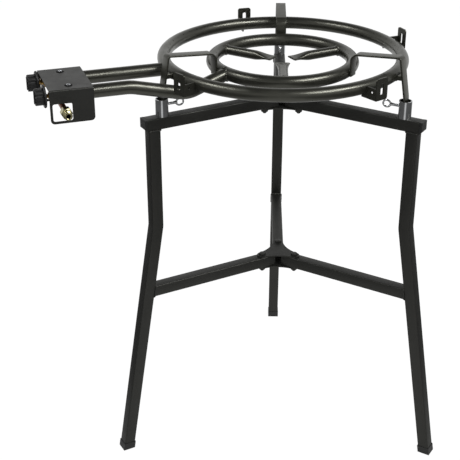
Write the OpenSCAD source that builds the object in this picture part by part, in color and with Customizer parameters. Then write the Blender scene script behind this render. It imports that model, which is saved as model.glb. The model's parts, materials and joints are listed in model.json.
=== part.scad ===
// Paella burner: a twin-ring gas burner that lifts off a bolted tripod stand.
// The origin is on the tripod axis at floor level, +Z is up, lengths are in millimetres.
// The rear leg stands at 90 degrees, the other two at 210 and 330 degrees.

/* [Stand] */
// Side of the square tube that the stand is made of
tube_w = 25; // [20:1:35]
// Wall of the square tube
tube_wall = 1.5; // [1:0.1:3]
// Height of the axis of the three arms above the floor
arm_h = 780; // [650:5:900]
// Distance outward from a socket to the upright upper run of a leg
leg_out = 22; // [12:1:32]
// Distance outward from a leg's upright run to the outer end of its arm
arm_over = 22; // [21:1:50]
// Height of the bend where a leg starts to splay
bend_h = 550; // [480:5:620]
// Distance outward from a leg's upright run to its foot
foot_out = 92; // [40:1:150]
// Height of the axis of the three braces above the floor
brace_h = 396; // [300:2:450]
// Distance from the tripod axis to the inner ends of arms and braces
hub_gap_r = 15; // [12:1:22]

/* [Hub plates] */
// Distance from the tripod axis to a clamping bolt
bolt_r = 42; // [40:1:60]
// Distance from the tripod axis to the hollow side of a clamping plate
plate_waist_r = 25; // [22:1:28]
// Radius of a lobe of a clamping plate
plate_lobe_r = 12; // [11:0.5:16]
// Thickness of a clamping plate
plate_t = 3; // [2:0.5:6]
// Diameter of a clamping bolt
bolt_d = 8; // [6:1:10]
// Radial clearance of a bolt in the holes that it passes
bolt_clear = 0.25; // [0.1:0.05:0.8]
// Width across flats of bolt heads and nuts
bolt_flats = 13; // [12:0.5:19]
// Height of a bolt head
bolt_head_h = 5; // [4:0.5:7]
// Height of a nut
nut_h = 6.5; // [5:0.5:8]
// Length of a bolt past its nut
bolt_tail = 3; // [1:0.5:6]

/* [Caps] */
// Depth of the block at the outer end of an arm
arm_cap_l = 7; // [6:0.5:8]
// Chamfer at the lower edge of that block
arm_cap_chamfer = 5; // [3:0.5:5.5]
// Length of the spigot that plugs the arm
arm_cap_spigot = 12; // [6:1:20]
// Height of a foot cap
foot_cap_h = 17; // [14:1:50]
// Wall of a foot cap
foot_cap_wall = 1; // [0.8:0.1:3]
// Thickness of the floor of a foot cap
foot_cap_floor = 4; // [2:0.5:8]

/* [Sockets] */
// Distance outward from the centre line of the outer ring to a socket
socket_out = 33; // [28:1:38]
// Outer diameter of a socket
socket_d = 26.9; // [26.5:0.1:32]
// Wall of a socket
socket_wall = 2; // [1.5:0.1:2.1]
// Height of a socket
socket_h = 36; // [32:1:45]

/* [Thumbscrews] */
// Diameter of the thumbscrew shank
screw_d = 6; // [5:0.5:8]
// Radial running clearance of the shank in the socket
screw_clear = 0.05; // [0.02:0.01:0.1]
// Height of the thumbscrew above the arm
screw_h = 23; // [16:1:26]
// Gap between the tip of the shank and the bar that it clamps
screw_tip_gap = 0.3; // [0.1:0.1:1]
// Length of the shank from its tip to the eye
screw_l = 30; // [26:1:40]
// Mean radius of the eye
eye_r = 8; // [7:0.5:11]
// Diameter of the rod of the eye
eye_rod_d = 4; // [3.5:0.5:6]

/* [Rings] */
// Radius of the centre line of the outer ring
outer_ring_r = 250; // [245:1:252]
// Radius of the centre line of the inner ring
inner_ring_r = 147.5; // [140:0.5:160]
// Height of the centre line of the outer ring above the arms' top
ring_rise = 83.5; // [78:0.5:95]
// Drop of the inner ring below the outer ring
inner_drop = 10; // [4:0.5:14]
// Outer diameter of the ring tube and the feed pipes
ring_tube_d = 27; // [24:0.5:28]
// Wall of the ring tube and the feed pipes
ring_wall = 2; // [1.5:0.1:3]
// Diameter of a flame port
port_d = 2.2; // [1.5:0.1:4]
// Number of flame ports in the outer ring
outer_ports = 60; // [24:6:72]
// Number of flame ports in the inner ring
inner_ports = 36; // [12:6:42]
// Tilt of the flame ports from upright, toward the tripod axis
port_tilt = 35; // [10:5:60]

/* [Spokes] */
// Outer diameter of a spoke tube
spoke_d = 20; // [16:0.5:22]
// Wall of a spoke tube
spoke_wall = 1.5; // [1:0.1:2.5]
// Distance from the burner axis to the crimped tip of a spoke
spoke_tip_r = 22; // [20:1:35]
// Distance from the burner axis to where the tube starts to flatten
spoke_neck_r = 58; // [50:1:80]
// Length of the flat lip at the tip
spoke_lip_l = 10; // [5:1:15]
// Thickness of the flat lip
spoke_lip_t = 5; // [3:0.5:8]
// Azimuth of the first spoke
spoke_az = 30; // [25:1:35]

/* [Pan supports] */
// Width of the flat bar
bar_w = 22; // [18:0.1:22.4]
// Thickness of the flat bar
bar_t = 4; // [3:0.1:4.2]
// Height above the arms' top where the bar starts to lean inward
bar_lean_h = 42; // [40:1:48]
// Distance outward from the outer ring's centre line to the top outer corner, on the bar's middle line
bar_corner_out = 19; // [18:0.5:26]
// Height of the top outer corner above the arms' top, on the bar's middle line
bar_corner_h = 123.5; // [112:0.5:140]
// Distance outward from the inner ring's centre line to the inner end of the top run
bar_inner_out = 24.5; // [22:0.5:40]
// Fall of the top run from its outer to its inner end
bar_fall = 9; // [4:0.5:16]
// Drop of the sloped step between the top run and the inner leg
bar_step = 9; // [6:1:20]
// Length of the inner leg below the centre line of the inner ring
bar_tail = 6; // [2:0.5:10]
// Height of the lug that joins the bar to the outer ring
lug_h = 10; // [6:1:14]

/* [Accessory brackets] */
// Distance outward from the outer ring's centre line to the outer face of a slotted tab
tab_out = 40; // [34:1:46]
// Width of a slotted tab
tab_w = 30; // [24:1:36]
// Thickness of the bracket sheet
tab_t = 3; // [2:0.5:4]
// Height of a slotted tab
tab_h = 44; // [38:1:50]
// Depth of the lower end of a tab below the ring's centre line
tab_low = 18; // [14:1:22]
// Radius of the rounded tab corners
tab_corner_r = 5; // [2:0.5:8]
// Width of the slot
slot_w = 8; // [5:0.5:12]
// Length of the slot
slot_l = 24; // [14:1:30]
// Height of the radial web behind a tab
web_h = 24; // [18:1:30]
// Diameter of the hole in the web
web_hole_d = 6; // [3:0.5:8]
// Height of that hole above the lower end of the tab
web_hole_up = 15; // [10:1:18]

/* [Feed pipes] */
// Azimuth of the radial outer-ring feed pipe
feed_az = 200; // [196:1:204]
// Spacing between the two feed pipes
feed_pitch = 86; // [80:1:96]
// Drop of the feed pipes below the centre line of the outer ring
feed_drop = 3; // [1:0.5:4]
// Distance along the feed from the outer ring's centre line to the open mouths of the pipes
mouth_out = 202; // [190:1:240]
// Distance along the feed from the outer ring's centre line to the bend where the inner-ring pipe dips
dip_out = 100; // [85:1:120]
// Distance inward from the outer ring's centre line to where that pipe is lowest
dip_in = 14; // [10:1:18]
// Clearance between the lowest point of that pipe's axis and where it would touch the outer ring
dip_clear = 2; // [1:0.5:6]
// Azimuth, from the feed azimuth, where that pipe meets the inner ring
inner_feed_turn = 19; // [19:0.5:24]

/* [Jet brackets] */
// Thickness of the strip
strip_t = 2; // [1.5:0.1:3]
// Width of the strip
strip_w = 20; // [16:1:24]
// Lap of the strip on its pipe
strip_lap = 18; // [12:1:24]
// Gap between the mouth of a pipe and the upright run of the strip
strip_gap = 26; // [24:1:40]

/* [Taps] */
// Diameter of a tap body
tap_d = 22; // [20:0.5:26]
// Length of a tap body
tap_l = 26; // [24:1:32]
// Diameter of the tap gland
gland_d = 14; // [12:0.5:16]
// Length of the tap gland
gland_l = 5; // [3:0.5:6]
// Diameter of a spindle
spindle_d = 8; // [6:0.5:9]
// Radial running clearance of a spindle
spindle_clear = 0.05; // [0.02:0.01:0.1]
// Depth that a spindle reaches into its tap body
spindle_depth = 18; // [12:0.5:19]
// Travel of a knob when it is pushed in to unlock
push_travel = 3; // [2:0.5:4]
// Free air left at the end of every pushed travel
push_air = 0.6; // [0.3:0.1:1]
// Thickness of the thrust washer on a spindle
washer_t = 1.5; // [1:0.1:2]
// Diameter of the thrust washer
washer_d = 14; // [12:0.5:18]
// Width across flats of a jet
jet_flats = 12; // [10:0.5:14]
// Length of the hexagon of a jet
jet_hex_l = 8; // [5:0.5:10]
// Diameter of the jet thread
jet_thread_d = 8; // [6:0.5:9]
// Length of the jet nozzle past its hexagon
jet_nose_l = 10; // [8:0.5:18]
// Diameter of the jet nozzle
jet_nose_d = 7; // [5:0.5:8]
// Diameter of the gas orifice of a jet
orifice_d = 1.2; // [0.8:0.1:2]
// Diameter of the gas way in a tap body
gasway_d = 6; // [4:0.5:7]

/* [Knobs] */
// Diameter of a knob's grip
knob_d = 34; // [30:1:40]
// Thickness of a knob with its skirt
knob_t = 20; // [17:0.5:24]
// Diameter of the skirt at the back of a knob
skirt_d = 45; // [42:1:50]
// Thickness of that skirt
skirt_t = 4; // [3:0.5:6]
// Number of finger scallops around a knob
knob_lobes = 8; // [5:1:10]
// Radius of a finger scallop
scallop_r = 5; // [3:0.5:6]
// Depth of a finger scallop
scallop_depth = 2.5; // [1:0.25:3]
// Depth of the spindle hole in a knob
knob_hole = 11; // [6:0.5:12]
// Height of the raised pointer rib on a knob's face
rib_h = 2; // [1:0.5:4]
// Width of the pointer rib
rib_w = 6; // [4:0.5:8]

/* [Gas line] */
// Outer diameter of the manifold between the taps
manifold_d = 14; // [12:0.5:16]
// Distance of the manifold from the outer end of a tap body
manifold_set = 14; // [12:0.5:16]
// Outer diameter of the inlet pipe
inlet_d = 12; // [10:0.5:14]
// Bore of the inlet pipe
inlet_bore = 8; // [6:0.5:9]
// Distance inward from the manifold to the straight run of the inlet pipe
inlet_back = 9; // [6:1:14]
// Drop of the inlet pipe below the feed pipes
inlet_drop = 28; // [26:0.5:31]
// Distance that the inlet thread reaches out of the cover
inlet_out = 26; // [18:1:40]
// Length of the hexagon of the inlet fitting
inlet_hex_l = 16; // [12:1:20]
// Width across flats of the inlet fitting
inlet_flats = 20; // [18:0.5:22]
// Diameter of the collar of the inlet fitting
collar_d = 18; // [16.8:0.2:20]
// Length of the collar of the inlet fitting
collar_l = 4; // [2:0.5:6]
// Diameter of the male inlet thread
thread_d = 16.6; // [14:0.1:16.7]
// Length of the male inlet thread
thread_l = 12; // [8:0.5:16]

/* [Tap cover] */
// Length of the cover along the feed
cover_l = 86; // [82:1:90]
// Gap between the cover's outer edge and the skirt of a knob that is pushed in
cover_gap = 0.7; // [0.5:0.1:2]
// Width of the cover across the two pipes
cover_w = 134; // [128:1:144]
// Height of the cover's two side plates
cover_h = 67; // [64:1:74]
// Thickness of the cover sheet
cover_t = 1.5; // [1:0.1:2.5]
// Outer radius of the cover's bends
cover_bend_r = 3; // [2.6:0.1:5]
// Radius of the lower corners of the side plates
cover_corner_r = 8; // [4:0.5:12]
// Width of a window in a side plate
window_w = 38; // [34:1:40]
// Height of a window
window_h = 35; // [32:1:38]
// Width of the frame that is left beside and below a window
window_frame = 5; // [4:0.5:8]
// Radius of the window corners
window_r = 4; // [2:0.5:6]
// Distance along the feed from the mouths of the pipes to the cover screws
cover_screw_out = 19; // [16:1:20]
// Diameter of a cover screw
cover_screw_d = 5; // [4:0.5:6]
// Radial clearance of a cover screw in the cover
cover_screw_clear = 0.25; // [0.1:0.05:0.5]
// Radial clearance of a cover screw in the strip below
strip_screw_clear = 0.05; // [0.03:0.01:0.1]
// Diameter of a cover screw's head
cover_head_d = 9; // [8:0.5:11]
// Height of a cover screw's head
cover_head_h = 3; // [2:0.25:4]
// Length of a cover screw below the cover
cover_screw_l = 6; // [5:0.5:7]

/* [Hidden] */

$fn = 64;

// Overrun of every cut past the face that it opens
cut = 1;
// Overlap that joins two shapes of one piece
eps = 0.01;
// Swell of a pipe's bend over the tube beside it
bend_swell = 0.3;

// Azimuths of the rear, left and right legs
rear_az = 90;
left_az = 210;
right_az = 330;
leg_azs = [rear_az, left_az, right_az];
// Turn from a leg to the middle of the gap beside it
half_step = (left_az - rear_az) / 2;

// Azimuths of the middles of the four slotted tabs
right_tab_az = 24;
rear_tab_az = 107;
left_tab_az = 225;
front_tab_az = 310;

// Distances from the tripod axis, outward from the outer ring
socket_r = outer_ring_r + socket_out;
leg_r = socket_r + leg_out;
foot_r = leg_r + foot_out;
arm_reach = leg_r + arm_over;
tab_r = outer_ring_r + tab_out;
bar_corner_r = outer_ring_r + bar_corner_out;
bar_inner_r = inner_ring_r + bar_inner_out;

// Heights of the stand
half_w = tube_w / 2;
inside_w = tube_w - 2 * tube_wall;
arm_top = arm_h + half_w;
arm_low = arm_h - half_w;
lean = atan((foot_r - leg_r) / bend_h);

// Hollow of a clamping plate between two lobes: a round that touches both, and the distance out to its centre
plate_waist_more = plate_waist_r - plate_lobe_r;
plate_side_d = (pow(bolt_r, 2) - pow(plate_waist_more, 2))
    / (2 * (bolt_r * cos(half_step) - plate_waist_more));
plate_side_r = plate_side_d - plate_waist_r;

// Places in the burner
ring_z = arm_top + ring_rise;
inner_z = ring_z - inner_drop;
ring_tube_r = ring_tube_d / 2;
ring_bore_r = ring_tube_r - ring_wall;
feed_z = ring_z - feed_drop;
dip_z = ring_z - ring_tube_d - dip_clear;

// Places along the feed where the inner-ring feed pipe starts and bends
mouth_x = outer_ring_r + mouth_out;
dip_start_x = outer_ring_r + dip_out;
dip_end_x = outer_ring_r - dip_in;

// Path of the inner-ring feed pipe in the feed's own frame
inner_joint = [inner_ring_r * cos(inner_feed_turn), inner_ring_r * sin(inner_feed_turn), inner_z];
inner_path = [
    [mouth_x, feed_pitch, feed_z],
    [dip_start_x, feed_pitch, feed_z],
    [dip_end_x, feed_pitch, dip_z],
    inner_joint];

// Places along the feed, from the pipe mouths outward
strip_x = mouth_x + strip_gap;
tap_x = strip_x + strip_t;
tap_end_x = tap_x + tap_l;
gland_end_x = tap_end_x + gland_l;
washer_x = gland_end_x + push_air + push_travel;
knob_x = washer_x + washer_t + push_air;
spindle_x = tap_end_x - spindle_depth;
manifold_x = tap_end_x - manifold_set;
inlet_x = manifold_x - inlet_back;
inlet_z = feed_z - inlet_drop;

// Places of the cover
cover_x1 = knob_x - push_travel - cover_gap;
cover_x0 = cover_x1 - cover_l;
cover_y0 = feed_pitch / 2 - cover_w / 2;
cover_y1 = feed_pitch / 2 + cover_w / 2;
cover_under = feed_z + ring_tube_r + strip_t;
cover_top = cover_under + cover_t;
cover_low = cover_top - cover_h;
cover_screw_x = mouth_x + cover_screw_out;
thread_end_y = cover_y1 + inlet_out;
collar_y = thread_end_y - thread_l - collar_l;
inlet_hex_y = collar_y - inlet_hex_l;

// Length of a port drill, which goes through the upper wall only
port_l = ring_wall + 2 * cut;

// Ratio of the corner circle of a hexagon to its flats
hex_ratio = 1 / cos(30);
// Length of the jet's tapered end as a share of its nozzle
jet_taper_share = 0.3;
// Diameter of the jet's tip as a share of its nozzle's diameter
jet_tip_share = 0.6;
// Length of a knob's rib as a share of its diameter
rib_share = 0.8;

// Unit vector along a plane vector
function unit(v) = v / norm(v);

// Plane vector turned a quarter turn to the left
function left_of(v) = [-v[1], v[0]];

// Point i of a path, moved sideways by a distance with mitred corners
function mitred(path, i, side) =
    let (last = len(path) - 1)
    let (a = i == 0 ? unit(path[1] - path[0]) : unit(path[i] - path[i - 1]))
    let (b = i == last ? a : unit(path[i + 1] - path[i]))
    let (na = left_of(a))
    let (nb = left_of(b))
    path[i] + (na + nb) / (1 + na * nb) * side;

// Outline of a strip of a given half thickness along a plane path
function ribbon(path, half) =
    let (last = len(path) - 1)
    concat([for (i = [0 : last]) mitred(path, i, half)],
        [for (i = [last : -1 : 0]) mitred(path, i, -half)]);

// Distance of a splayed leg's edge from the tripod axis at a height
function leg_edge(z, side) = leg_r + (bend_h - z) * tan(lean) + side / cos(lean);

// Outline of a bent leg of a given half width between two heights
function leg_outline(half, top, low) = [
    [leg_r - half, top],
    [leg_r + half, top],
    [leg_r + half, bend_h + half * tan(lean / 2)],
    [leg_edge(low, half), low],
    [leg_edge(low, -half), low],
    [leg_r - half, bend_h - half * tan(lean / 2)]];

// Stretch of a straight splayed run between two heights
function splay_outline(half, top, low) = [
    [leg_edge(top, -half), top],
    [leg_edge(top, half), top],
    [leg_edge(low, half), low],
    [leg_edge(low, -half), low]];

// Outline in a vertical plane through the axis, given a width across that plane
module in_plane(az, width) {
    rotate([0, 0, az])
    rotate([90, 0, 0])
    linear_extrude(width, center = true)
    children();
}

// Frame of the feed: x runs outward along the feed, y across the two pipes
module in_feed(y = 0) {
    rotate([0, 0, feed_az])
    translate([0, y, 0])
    children();
}

// Round rod between two points
module rod(a, b, d) {
    v = b - a;
    translate(a)
    rotate([0, acos(v[2] / norm(v)), atan2(v[1], v[0])])
    cylinder(h = norm(v), d = d);
}

// Radius of the ball that joins two runs of a pipe at point i of its path
function ball_r(path, i, d) =
    let (a = unit(path[i] - path[i - 1]))
    let (b = unit(path[i + 1] - path[i]))
    d / 2 * sqrt(2 / (1 + a * b)) + bend_swell;

// Solid of straight runs along a path of points, with a ball at every bend
module bent_rod(path, d) {
    last = len(path) - 1;
    for (i = [0 : last - 1])
        rod(path[i], path[i + 1], d);
    for (i = [1 : last - 1])
        translate(path[i])
        sphere(ball_r(path, i, d));
}

// Pipe along a path of points
module bent_pipe(path, d, bore) {
    difference() {
        bent_rod(path, d);
        bent_rod(path, bore);
    }
}

// Rod along the feed at the feed's height, from one distance to another
module feed_rod(x0, x1, d, sides = $fn) {
    translate([x0, 0, feed_z])
    rotate([0, 90, 0])
    cylinder(h = x1 - x0, d = d, $fn = sides);
}

// Solid torus of a ring tube
module torus(r, tube_r, z) {
    translate([0, 0, z])
    rotate_extrude()
    translate([r, 0])
    circle(tube_r);
}

// Flame ports of one ring, tilted toward the axis
module ports(r, z, count) {
    for (i = [0 : count - 1])
        rotate([0, 0, (i + 0.5) * 360 / count])
        translate([r, 0, z])
        rotate([0, -port_tilt, 0])
        translate([0, 0, ring_bore_r - cut])
        rotate([0, 0, 90])
        cylinder(h = port_l, d = port_d, $fn = 16);
}

// Plane shape with rounded corners between two corner points
module round_rect(p, q, r) {
    translate([p[0] + r, p[1]])
    square([q[0] - p[0] - 2 * r, q[1] - p[1]]);
    translate([p[0], p[1] + r])
    square([q[0] - p[0], q[1] - p[1] - 2 * r]);
    for (x = [p[0] + r, q[0] - r], y = [p[1] + r, q[1] - r])
        translate([x, y])
        circle(r);
}

// Square tube arm
module arm(az) {
    difference() {
        in_plane(az, tube_w)
        translate([hub_gap_r, arm_low])
        square([arm_reach - arm_cap_l - hub_gap_r, tube_w]);
        in_plane(az, inside_w)
        translate([hub_gap_r - cut, arm_low + tube_wall])
        square([arm_reach - arm_cap_l - hub_gap_r + 2 * cut, inside_w]);
        rotate([0, 0, az])
        translate([bolt_r, 0, arm_low - cut])
        cylinder(h = tube_w + 2 * cut, d = bolt_d + 2 * bolt_clear);
    }
}

// Bent square tube leg
module leg(az) {
    difference() {
        in_plane(az, tube_w)
        polygon(leg_outline(half_w, arm_low, foot_cap_floor));
        in_plane(az, inside_w)
        polygon(leg_outline(half_w - tube_wall, arm_low + cut, foot_cap_floor - cut));
    }
}

// Square tube brace, cut to lie flat against its leg
module brace(az) {
    in_half = half_w - tube_wall;
    top = brace_h + half_w;
    low = brace_h - half_w;
    difference() {
        in_plane(az, tube_w)
        polygon([
            [hub_gap_r, low],
            [hub_gap_r, top],
            [leg_edge(top, -half_w), top],
            [leg_edge(low, -half_w), low]]);
        in_plane(az, inside_w)
        translate([hub_gap_r - cut, brace_h - in_half])
        square([leg_edge(low, 0) - hub_gap_r, inside_w]);
        rotate([0, 0, az])
        translate([bolt_r, 0, low - cut])
        cylinder(h = tube_w + 2 * cut, d = bolt_d + 2 * bolt_clear);
    }
}

// Moulded cap over a splayed foot, flat on the floor
module foot_cap(az) {
    difference() {
        in_plane(az, tube_w + 2 * foot_cap_wall)
        polygon(splay_outline(half_w + foot_cap_wall, foot_cap_h, 0));
        in_plane(az, tube_w)
        polygon(splay_outline(half_w, foot_cap_h + cut, foot_cap_floor));
    }
}

// Moulded end block of an arm, with its spigot
module arm_end_cap(az) {
    x0 = arm_reach - arm_cap_l;
    in_plane(az, tube_w)
    polygon([
        [x0, arm_low],
        [x0, arm_top],
        [arm_reach, arm_top],
        [arm_reach, arm_low + arm_cap_chamfer],
        [arm_reach - arm_cap_chamfer, arm_low]]);
    in_plane(az, inside_w)
    translate([x0 - arm_cap_spigot, arm_low + tube_wall])
    square([arm_cap_spigot + arm_cap_l / 2, inside_w]);
}

// Point where a lobe of a clamping plate runs into the hollow on one side of it
function plate_join(az, side) =
    let (lobe = bolt_r * [cos(az), sin(az)])
    let (hollow = plate_side_d * [cos(az + side * half_step), sin(az + side * half_step)])
    lobe + plate_lobe_r * (hollow - lobe) / norm(hollow - lobe);

// Three-lobed clamping plate with hollow sides, its lower face at a height
module clamp_plate(z) {
    translate([0, 0, z])
    linear_extrude(plate_t)
    difference() {
        union() {
            difference() {
                polygon([for (az = leg_azs, side = [-1, 1]) plate_join(az, side)]);
                for (az = leg_azs)
                    rotate([0, 0, az + half_step])
                    translate([plate_side_d, 0])
                    circle(plate_side_r + eps);
            }
            for (az = leg_azs)
                rotate([0, 0, az])
                translate([bolt_r, 0])
                circle(plate_lobe_r);
        }
        for (az = leg_azs)
            rotate([0, 0, az])
            translate([bolt_r, 0])
            circle(d = bolt_d + 2 * bolt_clear);
    }
}

// Three clamping bolts through a pair of plates around a tube height
module clamp_bolts(h) {
    top = h + half_w + plate_t;
    low = h - half_w - plate_t - nut_h - bolt_tail;
    for (az = leg_azs)
        rotate([0, 0, az])
        translate([bolt_r, 0, 0]) {
            translate([0, 0, low])
            cylinder(h = top - low + bolt_head_h / 2, d = bolt_d);
            translate([0, 0, top])
            cylinder(h = bolt_head_h, d = bolt_flats * hex_ratio, $fn = 6);
        }
}

// Three nuts under a pair of plates around a tube height
module clamp_nuts(h) {
    for (az = leg_azs)
        rotate([0, 0, az])
        translate([bolt_r, 0, h - half_w - plate_t - nut_h])
        difference() {
            cylinder(h = nut_h, d = bolt_flats * hex_ratio, $fn = 6);
            translate([0, 0, -cut])
            cylinder(h = nut_h + 2 * cut, d = bolt_d + 2 * screw_clear);
        }
}

// Upright socket tube on an arm, drilled for its thumbscrew
module socket(az) {
    rotate([0, 0, az])
    translate([socket_r, 0, arm_top])
    difference() {
        cylinder(h = socket_h, d = socket_d);
        translate([0, 0, -cut])
        cylinder(h = socket_h + 2 * cut, d = socket_d - 2 * socket_wall);
        translate([0, 0, screw_h])
        rotate([0, -90, 0])
        cylinder(h = socket_d, d = screw_d + 2 * screw_clear);
    }
}

// Thumbscrew that points at a support bar, with a round eye to turn it by
module thumbscrew(az) {
    rotate([0, 0, az])
    translate([socket_r - bar_t / 2 - screw_tip_gap, 0, arm_top + screw_h]) {
        rotate([0, -90, 0])
        cylinder(h = screw_l, d = screw_d);
        translate([-screw_l - eye_r, 0, 0])
        rotate([90, 0, 0])
        rotate_extrude()
        translate([eye_r, 0])
        circle(d = eye_rod_d);
    }
}

// Crimped spoke tube that reaches from the inner ring toward the middle
module spoke(az) {
    lip_w = PI * spoke_d / 2;
    rotate([0, 0, az])
    translate([0, 0, inner_z])
    difference() {
        union() {
            translate([spoke_neck_r, 0, 0])
            rotate([0, 90, 0])
            cylinder(h = inner_ring_r - spoke_neck_r, d = spoke_d);
            hull() {
                translate([spoke_neck_r, 0, 0])
                rotate([0, 90, 0])
                cylinder(h = eps, d = spoke_d, $fn = 32);
                translate([spoke_tip_r + spoke_lip_l, -lip_w / 2, -spoke_lip_t / 2])
                cube([eps, lip_w, spoke_lip_t]);
            }
            translate([spoke_tip_r, -lip_w / 2, -spoke_lip_t / 2])
            cube([spoke_lip_l + eps, lip_w, spoke_lip_t]);
        }
        translate([spoke_neck_r + spoke_wall, 0, 0])
        rotate([0, 90, 0])
        cylinder(h = inner_ring_r, d = spoke_d - 2 * spoke_wall);
        torus(inner_ring_r, ring_tube_r, 0);
    }
}

// Bent flat bar that carries the pan, stands in a socket and holds both rings
module pan_support(az) {
    inner_leg_r = inner_ring_r + ring_tube_r + bar_t / 2;
    run_low = arm_top + bar_corner_h - bar_fall;
    path = [
        [socket_r, arm_top],
        [socket_r, arm_top + bar_lean_h],
        [bar_corner_r, arm_top + bar_corner_h],
        [bar_inner_r, run_low],
        [inner_leg_r, run_low - bar_step],
        [inner_leg_r, inner_z - bar_tail]];
    in_plane(az, bar_w)
    polygon(ribbon(path, bar_t / 2));
    lug_share = (ring_rise - bar_lean_h) / (bar_corner_h - bar_lean_h);
    lug_end_r = socket_r + (bar_corner_r - socket_r) * lug_share;
    in_plane(az, bar_w)
    translate([outer_ring_r + ring_tube_r, ring_z - lug_h / 2])
    square([lug_end_r - outer_ring_r - ring_tube_r, lug_h]);
}

// Slotted tab with a radial web, welded to the outside of the outer ring.
// The web is at the tab's far edge, on the side that hand gives (1 or -1).
module bracket(az, hand) {
    low = ring_z - tab_low;
    mid = low + tab_h / 2;
    rotate([0, 0, az])
    difference() {
        union() {
            translate([tab_r - tab_t, 0, 0])
            rotate([90, 0, 90])
            linear_extrude(tab_t)
            round_rect([-tab_w / 2, low], [tab_w / 2, low + tab_h], tab_corner_r);
            translate([outer_ring_r, hand * (tab_w - tab_t) / 2 - tab_t / 2, low])
            cube([tab_r - outer_ring_r, tab_t, web_h]);
        }
        translate([tab_r - tab_t - cut, 0, 0])
        rotate([90, 0, 90])
        linear_extrude(tab_t + 2 * cut)
        round_rect([-slot_w / 2, mid - slot_l / 2], [slot_w / 2, mid + slot_l / 2], slot_w / 2 - eps);
        translate([(tab_r + outer_ring_r + ring_tube_r) / 2, 0, low + web_hole_up])
        rotate([90, 0, 0])
        cylinder(h = 2 * tab_w, d = web_hole_d, center = true);
        torus(outer_ring_r, ring_tube_r, ring_z);
    }
}

// C-shaped strip that holds a tap in front of the mouth of its pipe
module jet_bracket(y) {
    top = feed_z + ring_tube_r + strip_t / 2;
    low = feed_z - ring_tube_r - strip_t / 2;
    far = strip_x + strip_t / 2;
    near = mouth_x - strip_lap;
    in_feed(y)
    difference() {
        in_plane(0, strip_w)
        polygon(ribbon([[near, low], [far, low], [far, top], [near, top]], strip_t / 2));
        feed_rod(strip_x - cut, tap_x + cut, jet_thread_d + 2 * spindle_clear);
        translate([cover_screw_x, 0, top - strip_t])
        cylinder(h = 2 * strip_t, d = cover_screw_d + 2 * strip_screw_clear);
    }
}

// Brass tap body with its gland, drilled for the spindle and the jet
module tap_body(y) {
    in_feed(y)
    difference() {
        union() {
            feed_rod(tap_x, tap_end_x, tap_d);
            feed_rod(tap_end_x - eps, gland_end_x, gland_d);
        }
        feed_rod(spindle_x - push_travel - push_air, gland_end_x + cut, spindle_d + 2 * spindle_clear);
        feed_rod(tap_x - cut, tap_x + jet_hex_l / 2 + eps, jet_thread_d + 2 * spindle_clear);
        feed_rod(tap_x, spindle_x, orifice_d);
    }
}

// Brass jet that screws through the strip into its tap
module jet(y) {
    nose_x = strip_x - jet_hex_l;
    tip_x = nose_x - jet_nose_l;
    taper = jet_nose_l * jet_taper_share;
    in_feed(y)
    difference() {
        union() {
            feed_rod(nose_x, strip_x, jet_flats * hex_ratio, 6);
            feed_rod(strip_x - eps, tap_x + jet_hex_l / 2, jet_thread_d);
            feed_rod(tip_x + taper, nose_x + eps, jet_nose_d);
            translate([tip_x, 0, feed_z])
            rotate([0, 90, 0])
            cylinder(h = taper + eps, d1 = jet_nose_d * jet_tip_share, d2 = jet_nose_d);
        }
        feed_rod(tip_x - cut, tap_x + jet_hex_l, orifice_d);
    }
}

// Thrust washer that moves in and out with a spindle
module thrust_washer(y) {
    in_feed(y)
    difference() {
        feed_rod(washer_x, washer_x + washer_t, washer_d);
        feed_rod(washer_x - cut, washer_x + washer_t + cut, spindle_d + 2 * spindle_clear);
    }
}

// Spindle from the tap cone to the knob
module spindle(y) {
    in_feed(y)
    feed_rod(spindle_x, knob_x + knob_hole - spindle_clear, spindle_d);
}

// Knob with a scalloped grip, a wide skirt at its back and a raised pointer rib
module knob(y) {
    in_feed(y)
    difference() {
        union() {
            feed_rod(knob_x, knob_x + skirt_t, skirt_d);
            difference() {
                feed_rod(knob_x + skirt_t - eps, knob_x + knob_t, knob_d);
                for (i = [0 : knob_lobes - 1])
                    translate([knob_x, 0, feed_z])
                    rotate([(i + 0.5) * 360 / knob_lobes, 0, 0])
                    translate([0, 0, knob_d / 2 + scallop_r - scallop_depth])
                    rotate([0, 90, 0])
                    cylinder(h = knob_t + cut, r = scallop_r);
            }
            translate([knob_x + knob_t - eps, -rib_w / 2, feed_z - knob_d * rib_share / 2])
            cube([rib_h + eps, rib_w, knob_d * rib_share]);
        }
        feed_rod(knob_x - cut, knob_x + knob_hole, spindle_d + 2 * spindle_clear);
    }
}

module arm_rear() { color("#26282a") arm(rear_az); }
module arm_left() { color("#26282a") arm(left_az); }
module arm_right() { color("#26282a") arm(right_az); }

module leg_rear() { color("#26282a") leg(rear_az); }
module leg_left() { color("#26282a") leg(left_az); }
module leg_right() { color("#26282a") leg(right_az); }

module brace_rear() { color("#26282a") brace(rear_az); }
module brace_left() { color("#26282a") brace(left_az); }
module brace_right() { color("#26282a") brace(right_az); }

module arm_end_caps() {
    color("#202124")
    for (az = leg_azs)
        arm_end_cap(az);
}

module foot_cap_rear() { color("#1c1d1f") foot_cap(rear_az); }
module foot_cap_left() { color("#1c1d1f") foot_cap(left_az); }
module foot_cap_right() { color("#1c1d1f") foot_cap(right_az); }

module hub_plate_upper() { color("#2b2d30") clamp_plate(arm_top); }
module hub_plate_lower() { color("#2b2d30") clamp_plate(arm_low - plate_t); }
module hub_bolts() { color("#3a3c3e") clamp_bolts(arm_h); }
module hub_nuts() { color("#3a3c3e") clamp_nuts(arm_h); }

module brace_plate_upper() { color("#2b2d30") clamp_plate(brace_h + half_w); }
module brace_plate_lower() { color("#2b2d30") clamp_plate(brace_h - half_w - plate_t); }
module brace_bolts() { color("#3a3c3e") clamp_bolts(brace_h); }
module brace_nuts() { color("#3a3c3e") clamp_nuts(brace_h); }

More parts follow.
